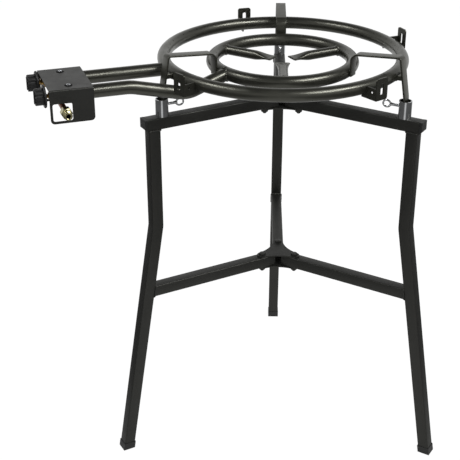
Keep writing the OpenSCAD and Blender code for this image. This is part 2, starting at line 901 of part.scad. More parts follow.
module socket_rear() { color("#c9ccd0") socket(rear_az); }
module socket_left() { color("#c9ccd0") socket(left_az); }
module socket_right() { color("#c9ccd0") socket(right_az); }

module thumbscrew_rear() { color("#d2d4d6") thumbscrew(rear_az); }
module thumbscrew_left() { color("#d2d4d6") thumbscrew(left_az); }
module thumbscrew_right() { color("#d2d4d6") thumbscrew(right_az); }

module outer_ring() {
    color("#3a3a35")
    difference() {
        torus(outer_ring_r, ring_tube_r, ring_z);
        torus(outer_ring_r, ring_bore_r, ring_z);
        in_feed()
        feed_rod(outer_ring_r, outer_ring_r + ring_tube_d, 2 * ring_bore_r);
        ports(outer_ring_r, ring_z, outer_ports);
    }
}

module inner_ring() {
    color("#3a3a35")
    difference() {
        torus(inner_ring_r, ring_tube_r, inner_z);
        torus(inner_ring_r, ring_bore_r, inner_z);
        in_feed()
        rod(inner_path[3], (inner_path[2] + inner_path[3]) / 2, 2 * ring_bore_r);
        for (i = [0 : 2])
            rotate([0, 0, spoke_az + i * 120])
            translate([inner_ring_r - ring_tube_d, 0, inner_z])
            rotate([0, 90, 0])
            cylinder(h = ring_tube_d, d = spoke_d - 2 * spoke_wall);
        ports(inner_ring_r, inner_z, inner_ports);
    }
}

module spoke_right() { color("#3a3a35") spoke(spoke_az); }
module spoke_left() { color("#3a3a35") spoke(spoke_az + 120); }
module spoke_front() { color("#3a3a35") spoke(spoke_az + 240); }

module pan_support_rear() { color("#45463f") pan_support(rear_az); }
module pan_support_left() { color("#45463f") pan_support(left_az); }
module pan_support_right() { color("#45463f") pan_support(right_az); }

module bracket_right() { color("#3c3d38") bracket(right_tab_az, 1); }
module bracket_rear() { color("#3c3d38") bracket(rear_tab_az, 1); }
module bracket_left() { color("#3c3d38") bracket(left_tab_az, 1); }
module bracket_front() { color("#3c3d38") bracket(front_tab_az, -1); }

module outer_feed_pipe() {
    color("#3a3a35")
    difference() {
        in_feed()
        difference() {
            feed_rod(outer_ring_r, mouth_x, ring_tube_d);
            feed_rod(outer_ring_r - cut, mouth_x + cut, 2 * ring_bore_r);
        }
        torus(outer_ring_r, ring_tube_r, ring_z);
    }
}

module inner_feed_pipe() {
    color("#3a3a35")
    difference() {
        in_feed()
        bent_pipe(inner_path, ring_tube_d, 2 * ring_bore_r);
        torus(inner_ring_r, ring_tube_r, inner_z);
    }
}

module outer_jet_bracket() { color("#3c3d38") jet_bracket(0); }
module inner_jet_bracket() { color("#3c3d38") jet_bracket(feed_pitch); }

module outer_tap_body() { color("#b08d3c") tap_body(0); }
module inner_tap_body() { color("#b08d3c") tap_body(feed_pitch); }
module outer_jet() { color("#c09a45") jet(0); }
module inner_jet() { color("#c09a45") jet(feed_pitch); }
module outer_thrust_washer() { color("#b8bbbe") thrust_washer(0); }
module inner_thrust_washer() { color("#b8bbbe") thrust_washer(feed_pitch); }
module outer_spindle() { color("#b08d3c") spindle(0); }
module inner_spindle() { color("#b08d3c") spindle(feed_pitch); }
module outer_knob() { color("#151517") knob(0); }
module inner_knob() { color("#151517") knob(feed_pitch); }

module manifold() {
    color("#b08d3c")
    difference() {
        in_feed()
        difference() {
            rod([manifold_x, 0, feed_z], [manifold_x, feed_pitch, feed_z], manifold_d);
            rod([manifold_x, -cut, feed_z], [manifold_x, feed_pitch + cut, feed_z], gasway_d);
            rod(
                [manifold_x, feed_pitch / 2, feed_z],
                [manifold_x, feed_pitch / 2, feed_z - manifold_d],
                gasway_d);
        }
        in_feed()
        feed_rod(tap_x, tap_end_x, tap_d);
        in_feed(feed_pitch)
        feed_rod(tap_x, tap_end_x, tap_d);
    }
}

module inlet_pipe() {
    start = [manifold_x, feed_pitch / 2, feed_z];
    turn = [inlet_x, feed_pitch / 2, inlet_z];
    last = [inlet_x, inlet_hex_y, inlet_z];
    color("#7d4a2c")
    in_feed()
    difference() {
        bent_pipe([start, turn, last], inlet_d, inlet_bore);
        rod([manifold_x, 0, feed_z], [manifold_x, feed_pitch, feed_z], manifold_d);
    }
}

module inlet_fitting() {
    color("#c9a63f")
    in_feed()
    translate([inlet_x, 0, inlet_z])
    rotate([-90, 0, 0])
    difference() {
        union() {
            translate([0, 0, inlet_hex_y])
            cylinder(h = inlet_hex_l, d = inlet_flats * hex_ratio, $fn = 6);
            translate([0, 0, collar_y - eps])
            cylinder(h = collar_l + eps, d = collar_d);
            translate([0, 0, collar_y])
            cylinder(h = collar_l + thread_l, d = thread_d);
        }
        translate([0, 0, inlet_hex_y - cut])
        cylinder(h = thread_end_y - inlet_hex_y + 2 * cut, d = inlet_bore);
    }
}

module tap_cover() {
    color("#2d2e2f")
    in_feed()
    difference() {
        translate([cover_x0, 0, 0])
        rotate([90, 0, 90])
        linear_extrude(cover_l)
        difference() {
            round_rect([cover_y0, cover_low - cover_bend_r], [cover_y1, cover_top], cover_bend_r);
            round_rect(
                [cover_y0 + cover_t, cover_low - cover_h],
                [cover_y1 - cover_t, cover_under],
                cover_bend_r - cover_t);
            translate([cover_y0 - cut, cover_low - cover_h])
            square([cover_w + 2 * cut, cover_h]);
        }
        translate([0, cover_y1 + cut, 0])
        rotate([90, 0, 0])
        linear_extrude(cover_w + 2 * cut) {
            round_rect(
                [cover_x1 - window_frame - window_w, cover_low + window_frame],
                [cover_x1 - window_frame, cover_low + window_frame + window_h],
                window_r);
            for (side = [0, 1])
                translate([side == 0 ? cover_x0 : cover_x1, cover_low])
                mirror([side, 0])
                difference() {
                    translate([-cut, -cut])
                    square(cover_corner_r + cut);
                    translate([cover_corner_r, cover_corner_r])
                    circle(cover_corner_r);
                }
        }
        for (y = [0, feed_pitch])
            translate([cover_screw_x, y, cover_under - cut])
            cylinder(h = cover_t + 2 * cut, d = cover_screw_d + 2 * cover_screw_clear);
    }
}

module cover_screws() {
    color("#b9bcbf")
    in_feed()
    for (y = [0, feed_pitch])
        translate([cover_screw_x, y, 0]) {
            translate([0, 0, cover_under - cover_screw_l])
            cylinder(h = cover_screw_l + cover_t + cover_head_h / 2, d = cover_screw_d);
            translate([0, 0, cover_top])
            cylinder(h = cover_head_h, d = cover_head_d);
        }
}

arm_rear();
arm_left();
arm_right();
leg_rear();
leg_left();
leg_right();
brace_rear();
brace_left();
brace_right();
arm_end_caps();
foot_cap_rear();
foot_cap_left();
foot_cap_right();
hub_plate_upper();
hub_plate_lower();
hub_bolts();
hub_nuts();
brace_plate_upper();
brace_plate_lower();
brace_bolts();
brace_nuts();
socket_rear();
socket_left();
socket_right();
thumbscrew_rear();
thumbscrew_left();
thumbscrew_right();
outer_ring();
inner_ring();
spoke_right();
spoke_left();
spoke_front();
pan_support_rear();
pan_support_left();
pan_support_right();
bracket_right();
bracket_rear();
bracket_left();
bracket_front();
outer_feed_pipe();
inner_feed_pipe();
outer_jet_bracket();
inner_jet_bracket();
outer_tap_body();
inner_tap_body();
outer_jet();
inner_jet();
outer_thrust_washer();
inner_thrust_washer();
outer_spindle();
inner_spindle();
outer_knob();
inner_knob();
manifold();
inlet_pipe();
inlet_fitting();
tap_cover();
cover_screws();
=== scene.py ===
import json
import math

import bpy
import numpy as np
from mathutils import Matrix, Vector


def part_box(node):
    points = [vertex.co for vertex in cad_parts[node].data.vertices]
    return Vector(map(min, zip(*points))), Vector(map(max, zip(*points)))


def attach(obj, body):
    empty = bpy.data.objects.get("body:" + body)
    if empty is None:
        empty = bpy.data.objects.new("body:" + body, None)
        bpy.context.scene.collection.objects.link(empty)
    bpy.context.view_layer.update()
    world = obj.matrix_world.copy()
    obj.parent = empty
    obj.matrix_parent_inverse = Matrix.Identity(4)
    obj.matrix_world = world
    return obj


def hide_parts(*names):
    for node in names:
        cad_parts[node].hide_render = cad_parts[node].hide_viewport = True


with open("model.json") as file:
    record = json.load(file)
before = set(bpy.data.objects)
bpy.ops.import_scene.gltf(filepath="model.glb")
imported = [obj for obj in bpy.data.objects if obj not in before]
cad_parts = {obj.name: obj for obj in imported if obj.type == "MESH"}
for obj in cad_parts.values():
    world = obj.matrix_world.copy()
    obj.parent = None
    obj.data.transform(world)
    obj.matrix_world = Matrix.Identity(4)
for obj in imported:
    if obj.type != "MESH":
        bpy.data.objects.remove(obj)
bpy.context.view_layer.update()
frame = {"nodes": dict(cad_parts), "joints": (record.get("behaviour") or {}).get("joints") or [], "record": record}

bl_info = {
    "name": "Paella burner",
    "version": (1, 0, 0),
    "blender": (4, 5, 0),
    "location": "3D View > Sidebar > Burner",
    "description": "Dresses a twin-ring gas burner on its tripod stand",
    "category": "Object",
}

# Azimuths of the legs and of the spokes, in degrees
LEGS = {"rear": 90.0, "left": 210.0, "right": 330.0}
SPOKES = {"right": 30.0, "left": 150.0, "front": 270.0}
TABS = ("right", "rear", "left", "front")
TAPS = ("outer", "inner")
UP = np.array([0.0, 0.0, 1.0])
JOINTS = {joint["name"]: joint for joint in frame["joints"]}
# The feed runs outward along the axis that the knobs turn about
FEED_OUT = np.array(JOINTS["outer_knob_turn"]["axis"])
FEED_SIDE = np.cross(UP, FEED_OUT)
FEED_Z = JOINTS["outer_knob_turn"]["pos_m"][2]
FEED_PITCH = float(np.linalg.norm(
    np.subtract(JOINTS["inner_knob_turn"]["pos_m"], JOINTS["outer_knob_turn"]["pos_m"])))
TAP_Y = {"outer": 0.0, "inner": FEED_PITCH}
# Widths of the round edges of pieces, in metres
EDGES = {"cap": 0.0011, "plate": 0.0007, "socket": 0.0005, "tab": 0.0006, "tap": 0.0004, "manifold": 0.0003,
         "cover": 0.00045, "bar": 0.0005}
# Pitch and depth of threads, in metres
THREADS = {"bolt": (0.00125, 0.0006), "thumbscrew": (0.001, 0.00045), "fitting": (0.00134, 0.0008),
           "cover_screw": (0.0008, 0.0003)}
# Radii of the burner's weld beads, in metres
WELDS = {"ring": 0.0021, "bar": 0.0019, "lug": 0.0017}


def span(node, axis):
    """Lowest and highest coordinate of a CAD node along one axis, in metres."""
    low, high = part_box(node)
    return low[axis], high[axis]


def setting(kind, **options):
    """Maker of properties of one kind, to be called with a name, a description and a default."""
    return lambda label, words, default: kind(name=label, description=words, default=default, **options)


length = setting(bpy.props.FloatProperty, unit="LENGTH", precision=4)
angle = setting(bpy.props.FloatProperty, subtype="ANGLE")
share = setting(bpy.props.FloatProperty, subtype="FACTOR", min=0.0, max=1.0)
power = setting(bpy.props.FloatProperty, unit="POWER")
place = setting(bpy.props.FloatVectorProperty, subtype="TRANSLATION", size=3)
extent = setting(bpy.props.FloatVectorProperty, unit="LENGTH", size=2)
colour = setting(bpy.props.FloatVectorProperty, subtype="COLOR", size=3, min=0.0, max=1.0)


class BurnerStandSettings(bpy.types.PropertyGroup):
    """Sizes of the tripod stand."""

    tube_side: length("Tube side", "Side of the square tube", span("arm_rear", 2)[1] - span("arm_rear", 2)[0])
    tube_corner: length("Tube corner", "Outer corner radius of the square tube", 0.0022)
    tube_wall: length("Tube wall", "Wall of the square tube", 0.0015)
    arm_z: length("Arm height", "Height of the arms' axis", sum(span("arm_rear", 2)) / 2)
    arm_start: length("Arm start", "Inner end of an arm", span("arm_rear", 1)[0])
    arm_end: length("Arm end", "Outer end of an arm's tube", span("arm_rear", 1)[1])
    brace_z: length("Brace height", "Height of the braces' axis", sum(span("brace_rear", 2)) / 2)
    leg_r: length("Leg radius", "Distance of a leg's upright run from the axis", 0.305)
    bend_z: length("Bend height", "Height of the bend of a leg", 0.550)
    bend_r: length("Bend radius", "Radius of the bend of a leg", 0.045)
    foot_r: length("Foot radius", "Distance of a foot from the axis", 0.397)
    bolt_r: length("Bolt radius", "Distance of a clamping bolt from the axis", 0.042)
    bolt_d: length("Bolt diameter", "Diameter of a clamping bolt", 0.008)
    bolt_flats: length("Bolt flats", "Width across flats of bolts and nuts", 0.013)
    weld_r: length("Weld size", "Radius of a weld bead", 0.0019)


class BurnerRingSettings(bpy.types.PropertyGroup):
    """Sizes of the burner that sits on the stand."""

    tube_d: length("Tube diameter", "Outer diameter of rings and feed pipes", 0.027)
    tube_wall: length("Tube wall", "Wall of rings and feed pipes", 0.002)
    outer_r: length("Outer ring", "Radius of the outer ring's centre line", 0.250)
    inner_r: length("Inner ring", "Radius of the inner ring's centre line", 0.1475)
    outer_z: length("Outer ring height", "Height of the outer ring", sum(span("outer_ring", 2)) / 2)
    inner_z: length("Inner ring height", "Height of the inner ring", sum(span("inner_ring", 2)) / 2)
    spoke_d: length("Spoke diameter", "Outer diameter of a spoke tube", 0.020)
    spoke_neck: length("Spoke neck", "Distance from the axis where a spoke starts to flatten", 0.070)
    spoke_tip: length("Spoke tip", "Distance from the axis to a spoke's tip", 0.022)
    spoke_lip: length("Spoke lip", "Thickness of a spoke's flat tip", 0.0042)
    bar_w: length("Bar width", "Width of a pan support's flat bar", 0.022)
    bar_t: length("Bar thickness", "Thickness of a pan support's flat bar", 0.004)
    socket_r: length("Socket radius", "Distance of the sockets from the axis", 0.283)
    screw_d: length("Screw diameter", "Diameter of a thumbscrew", 0.006)
    eye_r: length("Eye radius", "Mean radius of a thumbscrew's eye", 0.008)
    eye_rod: length("Eye rod", "Diameter of the rod of the eye", 0.004)
    mouth_x: length("Pipe mouth", "Distance along the feed to the mouths of the feed pipes", 0.452)
    dip_start: length("Dip start", "Distance along the feed where the inner pipe starts to dip", 0.350)
    dip_end: length("Dip end", "Distance along the feed where the inner pipe is lowest", 0.236)
    dip_z: length("Dip height", "Height of the inner pipe at its lowest", 0.847)
    joint_turn: angle("Pipe joint", "Turn from the feed to the inner pipe's end", math.radians(19.0))
    inlet_d: length("Inlet diameter", "Outer diameter of the inlet pipe", 0.012)


class BurnerTapSettings(bpy.types.PropertyGroup):
    """Sizes of the taps' knobs."""

    grip_d: length("Grip diameter", "Diameter of a knob's grip", 0.034)
    skirt_d: length("Skirt diameter", "Diameter of a knob's skirt", 0.045)
    skirt_t: length("Skirt thickness", "Thickness of a knob's skirt", 0.004)
    knob_edge: length("Knob edge", "Size of the round edges of a knob", 0.0010)
    lobes: bpy.props.IntProperty(name="Lobes", description="Finger scallops around a grip", default=8)
    scoop_r: length("Scallop radius", "Radius of a finger scallop", 0.005)
    scoop_depth: length("Scallop depth", "Depth of a finger scallop", 0.0025)
    rib_w: length("Rib width", "Width of the pointer rib", 0.006)
    rib_h: length("Rib height", "Height of the pointer rib", 0.002)


class BurnerFinishSettings(bpy.types.PropertyGroup):
    """Colours of the finishes."""

    stand: colour("Stand", "Powder coat of the stand", (0.0085, 0.0086, 0.0080))
    enamel: colour("Enamel", "Enamel of rings, pipes and bars", (0.0080, 0.0080, 0.0062))
    cover: colour("Cover", "Powder coat of the tap cover", (0.0085, 0.0086, 0.0083))
    plastic: colour("Plastic", "Knobs and rubber", (0.010, 0.010, 0.0105))
    chrome: colour("Chrome", "Sockets and thumbscrews", (0.74, 0.75, 0.76))
    brass: colour("Brass", "Taps and jets", (0.40, 0.25, 0.075))
    fitting: colour("Fitting", "Inlet fitting with its yellow plating", (0.64, 0.59, 0.34))
    copper: colour("Copper", "Inlet pipe", (0.33, 0.125, 0.055))
    zinc: colour("Zinc", "Cover screws and thrust washers", (0.84, 0.86, 0.89))


class BurnerStageSettings(bpy.types.PropertyGroup):
    """Camera, floor and light."""

    camera_at: place("Camera", "Place of the camera", (-0.0574, -2.1828, 1.5638))
    camera_tilt: angle("Tilt", "Turn of the camera from straight down", math.radians(63.234))
    camera_turn: angle("Turn", "Turn of the camera about the upright", math.radians(1.4))
    camera_view: angle("View", "Angle of view of the camera", math.radians(24.23))
    floor: colour("Floor", "Colour of the floor", (0.86, 0.86, 0.86))
    floor_reach: length("Floor reach", "Half of the floor's side", 14.0)
    white: bpy.props.FloatProperty(
        name="White", description="Brightness of the floor to the eye", default=1.06)
    white_share: share("White share", "Share of plain white over the floor's shadow", 0.9)
    gloss_near: share("Floor in gloss", "Brightness of the floor's middle in reflections", 0.62)
    gloss_far: share("Floor sides in gloss", "Brightness of the floor's sides in reflections", 0.10)
    gloss_sky: share("Sky in gloss", "Brightness of the sky in reflections", 0.50)
    gloss_back: share("Back in gloss", "Brightness of what is low behind the part in reflections", 0.9)
    aim: place("Aim", "Point that the soft boxes face", (0.0, 0.0, 0.85))
    left_at: place("Left place", "Place of the soft box at the left", (-3.1, -0.7, 4.2))
    left_size: extent("Left size", "Width and height of the soft box at the left", (1.7, 1.0))
    left_power: power("Left", "Power of the soft box at the left", 60.0)
    right_at: place("Right place", "Place of the soft box at the right", (2.65, -1.85, 4.2))
    right_size: extent("Right size", "Width and height of the soft box at the right", (3.2, 1.0))
    right_power: power("Right", "Power of the soft box at the right", 175.0)


def unit(vector):
    """Vectors scaled to length 1 along the last axis."""
    return vector / np.linalg.norm(vector, axis=-1, keepdims=True)


def around(steps):
    """Even angles of a full turn, from 0."""
    return np.linspace(0.0, 2 * math.pi, steps, endpoint=False)


def planes(azimuths):
    """Name, outward vector and sideways vector of the upright plane at each azimuth."""
    for name, degrees in azimuths.items():
        turn = math.radians(degrees)
        outward = np.array([math.cos(turn), math.sin(turn), 0.0])
        yield name, outward, np.cross(UP, outward)


def in_plane(points, outward):
    """Points given as distance from the axis and height, set in an upright plane."""
    points = np.asarray(points, float)
    return points[:, :1] * outward + points[:, 1:] * UP


def in_feed(points):
    """Points given along the feed, across it and upward, set in the object's frame."""
    points = np.asarray(points, float)
    return points[:, :1] * FEED_OUT + points[:, 1:2] * FEED_SIDE + points[:, 2:] * UP


def filleted(points, radii, steps=10):
    """Path through corner points where each inner corner is an arc, tangent to both of its runs.

    An arc turns about centre = corner + bisector * radius / sin(half), from one tangent point to the other.
    """
    points = np.asarray(points, float)
    path = [points[:1]]
    t = np.linspace(0.0, 1.0, steps)[:, None]
    for before, corner, after, radius in zip(points, points[1:], points[2:], radii):
        back = unit(before - corner)
        on = unit(after - corner)
        half = math.acos(np.clip(back @ on, -1.0, 1.0)) / 2
        centre = corner + unit(back + on) * radius / math.sin(half)
        start = corner + back * radius / math.tan(half) - centre
        end = corner + on * radius / math.tan(half) - centre
        sweep = math.pi - 2 * half
        path.append(centre + (np.sin((1 - t) * sweep) * start + np.sin(t * sweep) * end) / math.sin(sweep))
    path.append(points[-1:])
    return np.vstack(path)


def rounded_rect(width, height, radius, steps=5):
    """Outline of a rectangle whose corners are quarter circles, counter-clockwise, as points (a, b)."""
    quarter = np.arange(4)[:, None] * math.pi / 2
    turn = quarter + np.linspace(0.0, math.pi / 2, steps)
    middle = quarter + math.pi / 4
    a = np.sign(np.cos(middle)) * (width / 2 - radius) + radius * np.cos(turn)
    b = np.sign(np.sin(middle)) * (height / 2 - radius) + radius * np.sin(turn)
    return np.stack([a.ravel(), b.ravel()], -1)


def circle(radius, steps=32):
    """Outline of a circle, as points (a, b)."""
    turn = around(steps)
    return radius * np.stack([np.cos(turn), np.sin(turn)], -1)


def frames_along(path, side):
    """Across and side vectors at every point of a path, with the mitre's stretch left in across.

    The tangent at a point is the bisector of the runs before and after it; side is made square to it.
    """
    step = unit(np.diff(path, axis=0))
    before = np.vstack([step[:1], step])
    after = np.vstack([step, step[-1:]])
    tangent = unit(before + after)
    side = np.broadcast_to(side, path.shape)
    side = unit(side - np.sum(side * tangent, -1, keepdims=True) * tangent)
    across = np.cross(side, tangent) / np.sum(tangent * before, -1, keepdims=True)
    return across, side


def carried(profile, path, side):
    """Profile carried along a path: point = path + a * across + b * side, as an array (path, profile, 3)."""
    across, side = frames_along(path, side)
    profile = np.broadcast_to(profile, (len(path),) + np.shape(profile)[-2:])
    return path[:, None] + profile[..., :1] * across[:, None] + profile[..., 1:] * side[:, None]


def turned(radius, height, origin, axis, start=None):
    """Surface about an axis, for arrays (height, angle): point = origin + height * axis + radius * ring.

    The ring's angle counts from start, or from any vector square to the axis.
    """
    axis = unit(np.asarray(axis, float))
    start = unit(np.cross(axis, [0.31, 0.17, 0.93])) if start is None else np.asarray(start, float)
    other = np.cross(axis, start)
    radius = np.asarray(radius, float)
    turn = around(radius.shape[1])[:, None]
    height = np.broadcast_to(np.asarray(height, float).reshape(len(radius), -1), radius.shape)
    ring = np.cos(turn) * start + np.sin(turn) * other
    return np.asarray(origin, float) + height[..., None] * axis + radius[..., None] * ring


def lathed(profile, origin, axis, steps=40):
    """Surface of revolution of a profile of points (radius, height)."""
    profile = np.asarray(profile, float)
    return turned(np.repeat(profile[:, :1], steps, 1), profile[:, 1:], origin, axis)


def quads(rows, columns, wrap_rows=False):
    """Faces between neighbours of a grid of points, closed around its columns."""
    index = np.arange(rows * columns).reshape(rows, columns)
    index = np.vstack([index, index[:1]]) if wrap_rows else index
    index = np.hstack([index, index[:, :1]])
    return np.stack([index[:-1, :-1], index[:-1, 1:], index[1:, 1:], index[1:, :-1]], -1).reshape(-1, 4)


def volume(points, faces):
    """Signed volume of a closed shell, summed over the tetrahedra from its middle to its triangles."""
    corner = points - points.mean(0)
    fans = [faces[:, [0, i, i + 1]] for i in range(1, faces.shape[1] - 1)]
    tri = corner[np.vstack(fans)]
    return np.einsum("ij,ij->", tri[:, 0], np.cross(tri[:, 1], tri[:, 2])) / 6


def closed(grid):
    """Shell of a grid that is closed around, with a fan to the middle of its first and of its last row."""
    rows, columns = grid.shape[:2]
    points = np.vstack([grid.reshape(-1, 3), grid[0].mean(0), grid[-1].mean(0)])
    side = quads(rows, columns)
    here = np.arange(columns)
    there = np.roll(here, -1)
    first = np.full(columns, rows * columns)
    last = (rows - 1) * columns
    low = np.stack([there, here, first, first], -1)
    high = np.stack([last + here, last + there, first + 1, first + 1], -1)
    sign = volume(points, np.vstack([side, low, high]))
    faces = [side, low[:, :3], high[:, :3]]
    return points, [f if sign > 0 else f[:, ::-1] for f in faces]


def looped(grid):
    """Shell of a grid that is closed in both directions."""
    points = grid.reshape(-1, 3)
    faces = quads(len(grid), grid.shape[1], wrap_rows=True)
    return points, [faces if volume(points, faces) > 0 else faces[:, ::-1]]


def hollow(outer, inner):
    """Shell of a tube from the grids of its outer and its inner wall, joined at both ends."""
    return looped(np.vstack([outer, inner[::-1]]))


def piece(name, shells, body, slot, replaces=(), sharp=32.0, finish=None):
    """Mesh object at the origin made of closed shells, riding on a body and standing for CAD nodes.

    Its finish is its slot's, unless another is named.
    """
    points = []
    faces = []
    count = 0
    for shell_points, shell_faces in shells:
        points.append(shell_points)
        for block in shell_faces:
            faces.extend((block + count).tolist())
        count += len(shell_points)
    mesh = bpy.data.meshes.new(name)
    mesh.from_pydata(np.vstack(points).tolist(), [], faces)
    mesh.polygons.foreach_set("use_smooth", np.ones(len(mesh.polygons), bool))
    mesh.set_sharp_from_angle(angle=math.radians(sharp))
    mesh.materials.append(finish_for(finish or slot))
    mesh.validate()
    made = bpy.data.objects.new(name, mesh)
    bpy.context.scene.collection.objects.link(made)
    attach(made, body)
    if replaces:
        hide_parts(*replaces)
    return made


def paint(node, finish):
    """Gives a CAD node its finish."""
    mesh = frame["nodes"][node].data
    mesh.materials.clear()
    mesh.materials.append(finish_for(finish))


def bevelled(made, width, least=60.0):
    """Rounds the edges of an object that turn by more than the least angle, in degrees."""
    bevel = made.modifiers.new("edges", "BEVEL")
    bevel.width = width
    bevel.segments = 2
    bevel.limit_method = "ANGLE"
    bevel.angle_limit = math.radians(least)
    return bevel


def soften(node, width, finish):
    """Gives a CAD node its finish and small round edges.

    The modifiers merge its points, join its flat triangles, bevel its edges and even its normals.
    """
    paint(node, finish)
    made = frame["nodes"][node]
    weld = made.modifiers.new("merge", "WELD")
    weld.merge_threshold = 1e-6
    flat = made.modifiers.new("flat", "DECIMATE")
    flat.decimate_type = "DISSOLVE"
    flat.angle_limit = math.radians(0.4)
    bevelled(made, width, 38.0).miter_outer = "MITER_ARC"
    even = made.modifiers.new("normals", "WEIGHTED_NORMAL")
    even.keep_sharp = True
    even.weight = 80


class Nodes:
    """Short way to fill the node tree of a material or world."""

    def __init__(self, owner, coordinates="Object"):
        owner.use_nodes = True
        self.owner = owner
        self.tree = owner.node_tree
        self.at = self.add("TexCoord").outputs[coordinates]

    def add(self, kind, inputs=(), **values):
        """New shader node with its properties set and its inputs fed."""
        node = self.tree.nodes.new(f"ShaderNode{kind}")
        for key, value in values.items():
            setattr(node, key, value)
        for socket, value in dict(inputs).items():
            self.feed(node, socket, value)
        return node

    def feed(self, node, socket, value):
        """Links an output to a named or numbered input, or sets a plain value there."""
        if isinstance(value, bpy.types.NodeSocket):
            self.tree.links.new(value, node.inputs[socket])
        else:
            node.inputs[socket].default_value = value

    def stretched(self, scale):
        """Object coordinates stretched along each axis."""
        return self.add("Mapping", {"Scale": scale, "Vector": self.at}).outputs["Vector"]

    def noise(self, scale, detail=3.0, roughness=0.55, at=None):
        """Grey noise, with its scale in features per metre."""
        return self.add("TexNoise", {
            "Scale": scale, "Detail": detail, "Roughness": roughness, "Vector": at or self.at}).outputs["Fac"]

    def cells(self, scale):
        """Distance to the nearest of scattered points."""
        return self.add("TexVoronoi", {"Scale": scale, "Vector": self.at}).outputs["Distance"]

    def remap(self, value, low, high, to_low, to_high):
        """Value moved from one range to another, clamped."""
        return self.add("MapRange", {
            "From Min": low, "From Max": high, "To Min": to_low, "To Max": to_high,
            "Value": value}).outputs["Result"]

    def maths(self, operation, *values):
        """Result of a Math node on outputs or numbers."""
        return self.add("Math", enumerate(values), operation=operation).outputs[0]

    def mix(self, factor, first, second):
        """Two colours mixed by a factor; each colour is a value or an output."""
        first, second = (
            tone if isinstance(tone, bpy.types.NodeSocket) else (*tone, 1.0) for tone in (first, second))
        return self.add("Mix", {0: factor, 6: first, 7: second}, data_type="RGBA").outputs[2]

    def bump(self, height, strength, distance, below=None):
        """Normal tilted by a height, on top of another normal."""
        node = self.add("Bump", {"Strength": strength, "Distance": distance, "Height": height})
        if below is not None:
            self.feed(node, "Normal", below)
        return node.outputs["Normal"]

    def finish(self, colour, roughness, normal, **values):
        """Material whose shader gets what varies from outputs, and what doesn't as values."""
        shader = self.tree.nodes["Principled BSDF"]
        for socket, output in (("Base Color", colour), ("Roughness", roughness), ("Normal", normal)):
            self.feed(shader, socket, output)
        for key, value in values.items():
            self.feed(shader, key.replace("_", " ").title().replace("Ior", "IOR"), value)
        return self.owner


def nodes_for(name):
    """Nodes of a new material."""
    return Nodes(bpy.data.materials.new(name))


def scaled(tint, factor):
    """Colour times a factor."""
    return tuple(min(1.0, part * factor) for part in tint)


def coated(name, tint, rough, grain, depth):
    """Sprayed coat: fine orange-peel bumps, dull and glossy clouds, a little dust and faint colour drift."""
    n = nodes_for(name)
    drift = n.remap(n.noise(9.0), 0.3, 0.7, 0.0, 1.0)
    dust = n.remap(n.noise(420.0, 4.0, 0.7), 0.66, 0.80, 0.0, 0.55)
    tone = n.mix(drift, scaled(tint, 0.85), scaled(tint, 1.2))
    tone = n.mix(dust, tone, scaled(tint, 2.3))
    gloss = n.remap(n.noise(31.0, 5.0), 0.25, 0.75, rough - 0.05, rough + 0.07)
    peel = n.bump(n.noise(grain, 2.0), 0.35, depth)
    return n.finish(tone, gloss, peel, specular_tint=(1.0, 1.0, 0.92, 1.0))


def enamelled(name, tint, rough):
    """Smooth dark enamel on drawn tube: long waves, faint grain and flecks, and clouds in its gloss."""
    n = nodes_for(name)
    cloud = n.remap(n.noise(14.0, 4.0), 0.3, 0.7, 0.0, 1.0)
    fleck = n.remap(n.noise(650.0, 3.0, 0.6), 0.68, 0.82, 0.0, 0.35)
    tone = n.mix(cloud, scaled(tint, 0.82), scaled(tint, 1.25))
    tone = n.mix(fleck, tone, scaled(tint, 2.6))
    gloss = n.remap(n.noise(28.0, 3.0, 0.55), 0.3, 0.75, rough - 0.05, rough + 0.07)
    wave = n.bump(n.noise(24.0, 2.0), 0.05, 0.0006)
    peel = n.bump(n.noise(1100.0, 2.0), 0.01, 0.0001, wave)
    return n.finish(tone, gloss, peel, specular_ior_level=1.0, specular_tint=(1.0, 1.0, 0.86, 1.0))


def polished(name, tint, rough, streak):
    """Plated metal: faint streaks of polishing along one axis and a few dull smears."""
    n = nodes_for(name)
    lines = n.noise(260.0, 4.0, 0.6, n.stretched(streak))
    smear = n.noise(70.0, 4.0)
    tone = n.mix(n.remap(smear, 0.35, 0.7, 0.0, 1.0), scaled(tint, 0.86), tint)
    gloss = n.remap(lines, 0.3, 0.75, rough, rough + 0.10)
    grain = n.bump(lines, 0.05, 0.0001)
    return n.finish(tone, gloss, grain, metallic=1.0)


def machined(name, tint, rough, stain):
    """Bare turned metal: stained clouds, fine pits and clouds in its gloss."""
    n = nodes_for(name)
    cloud = n.remap(n.noise(160.0, 5.0, 0.65), 0.38, 0.68, 0.0, 1.0)
    tone = n.mix(cloud, scaled(tint, stain), tint)
    gloss = n.remap(n.noise(420.0, 4.0), 0.3, 0.75, rough - 0.06, rough + 0.12)
    pits = n.bump(n.cells(1800.0), 0.06, 0.0001)
    return n.finish(tone, gloss, pits, metallic=1.0)


def moulded(name, tint, rough, shine=0.5):
    """Moulded plastic, and the near-black of painted shade: spark-eroded grain, faint scuffs and clouds."""
    n = nodes_for(name)
    scuff = n.remap(n.noise(210.0, 6.0, 0.7), 0.62, 0.80, 0.0, 0.6)
    tone = n.mix(scuff, tint, scaled(tint, 2.4))
    gloss = n.remap(n.noise(90.0, 4.0), 0.3, 0.7, rough - 0.05, rough + 0.08)
    grain = n.bump(n.noise(2400.0, 2.0), 0.22, 0.0001)
    return n.finish(tone, gloss, grain, specular_ior_level=shine)


FINISHES = {}


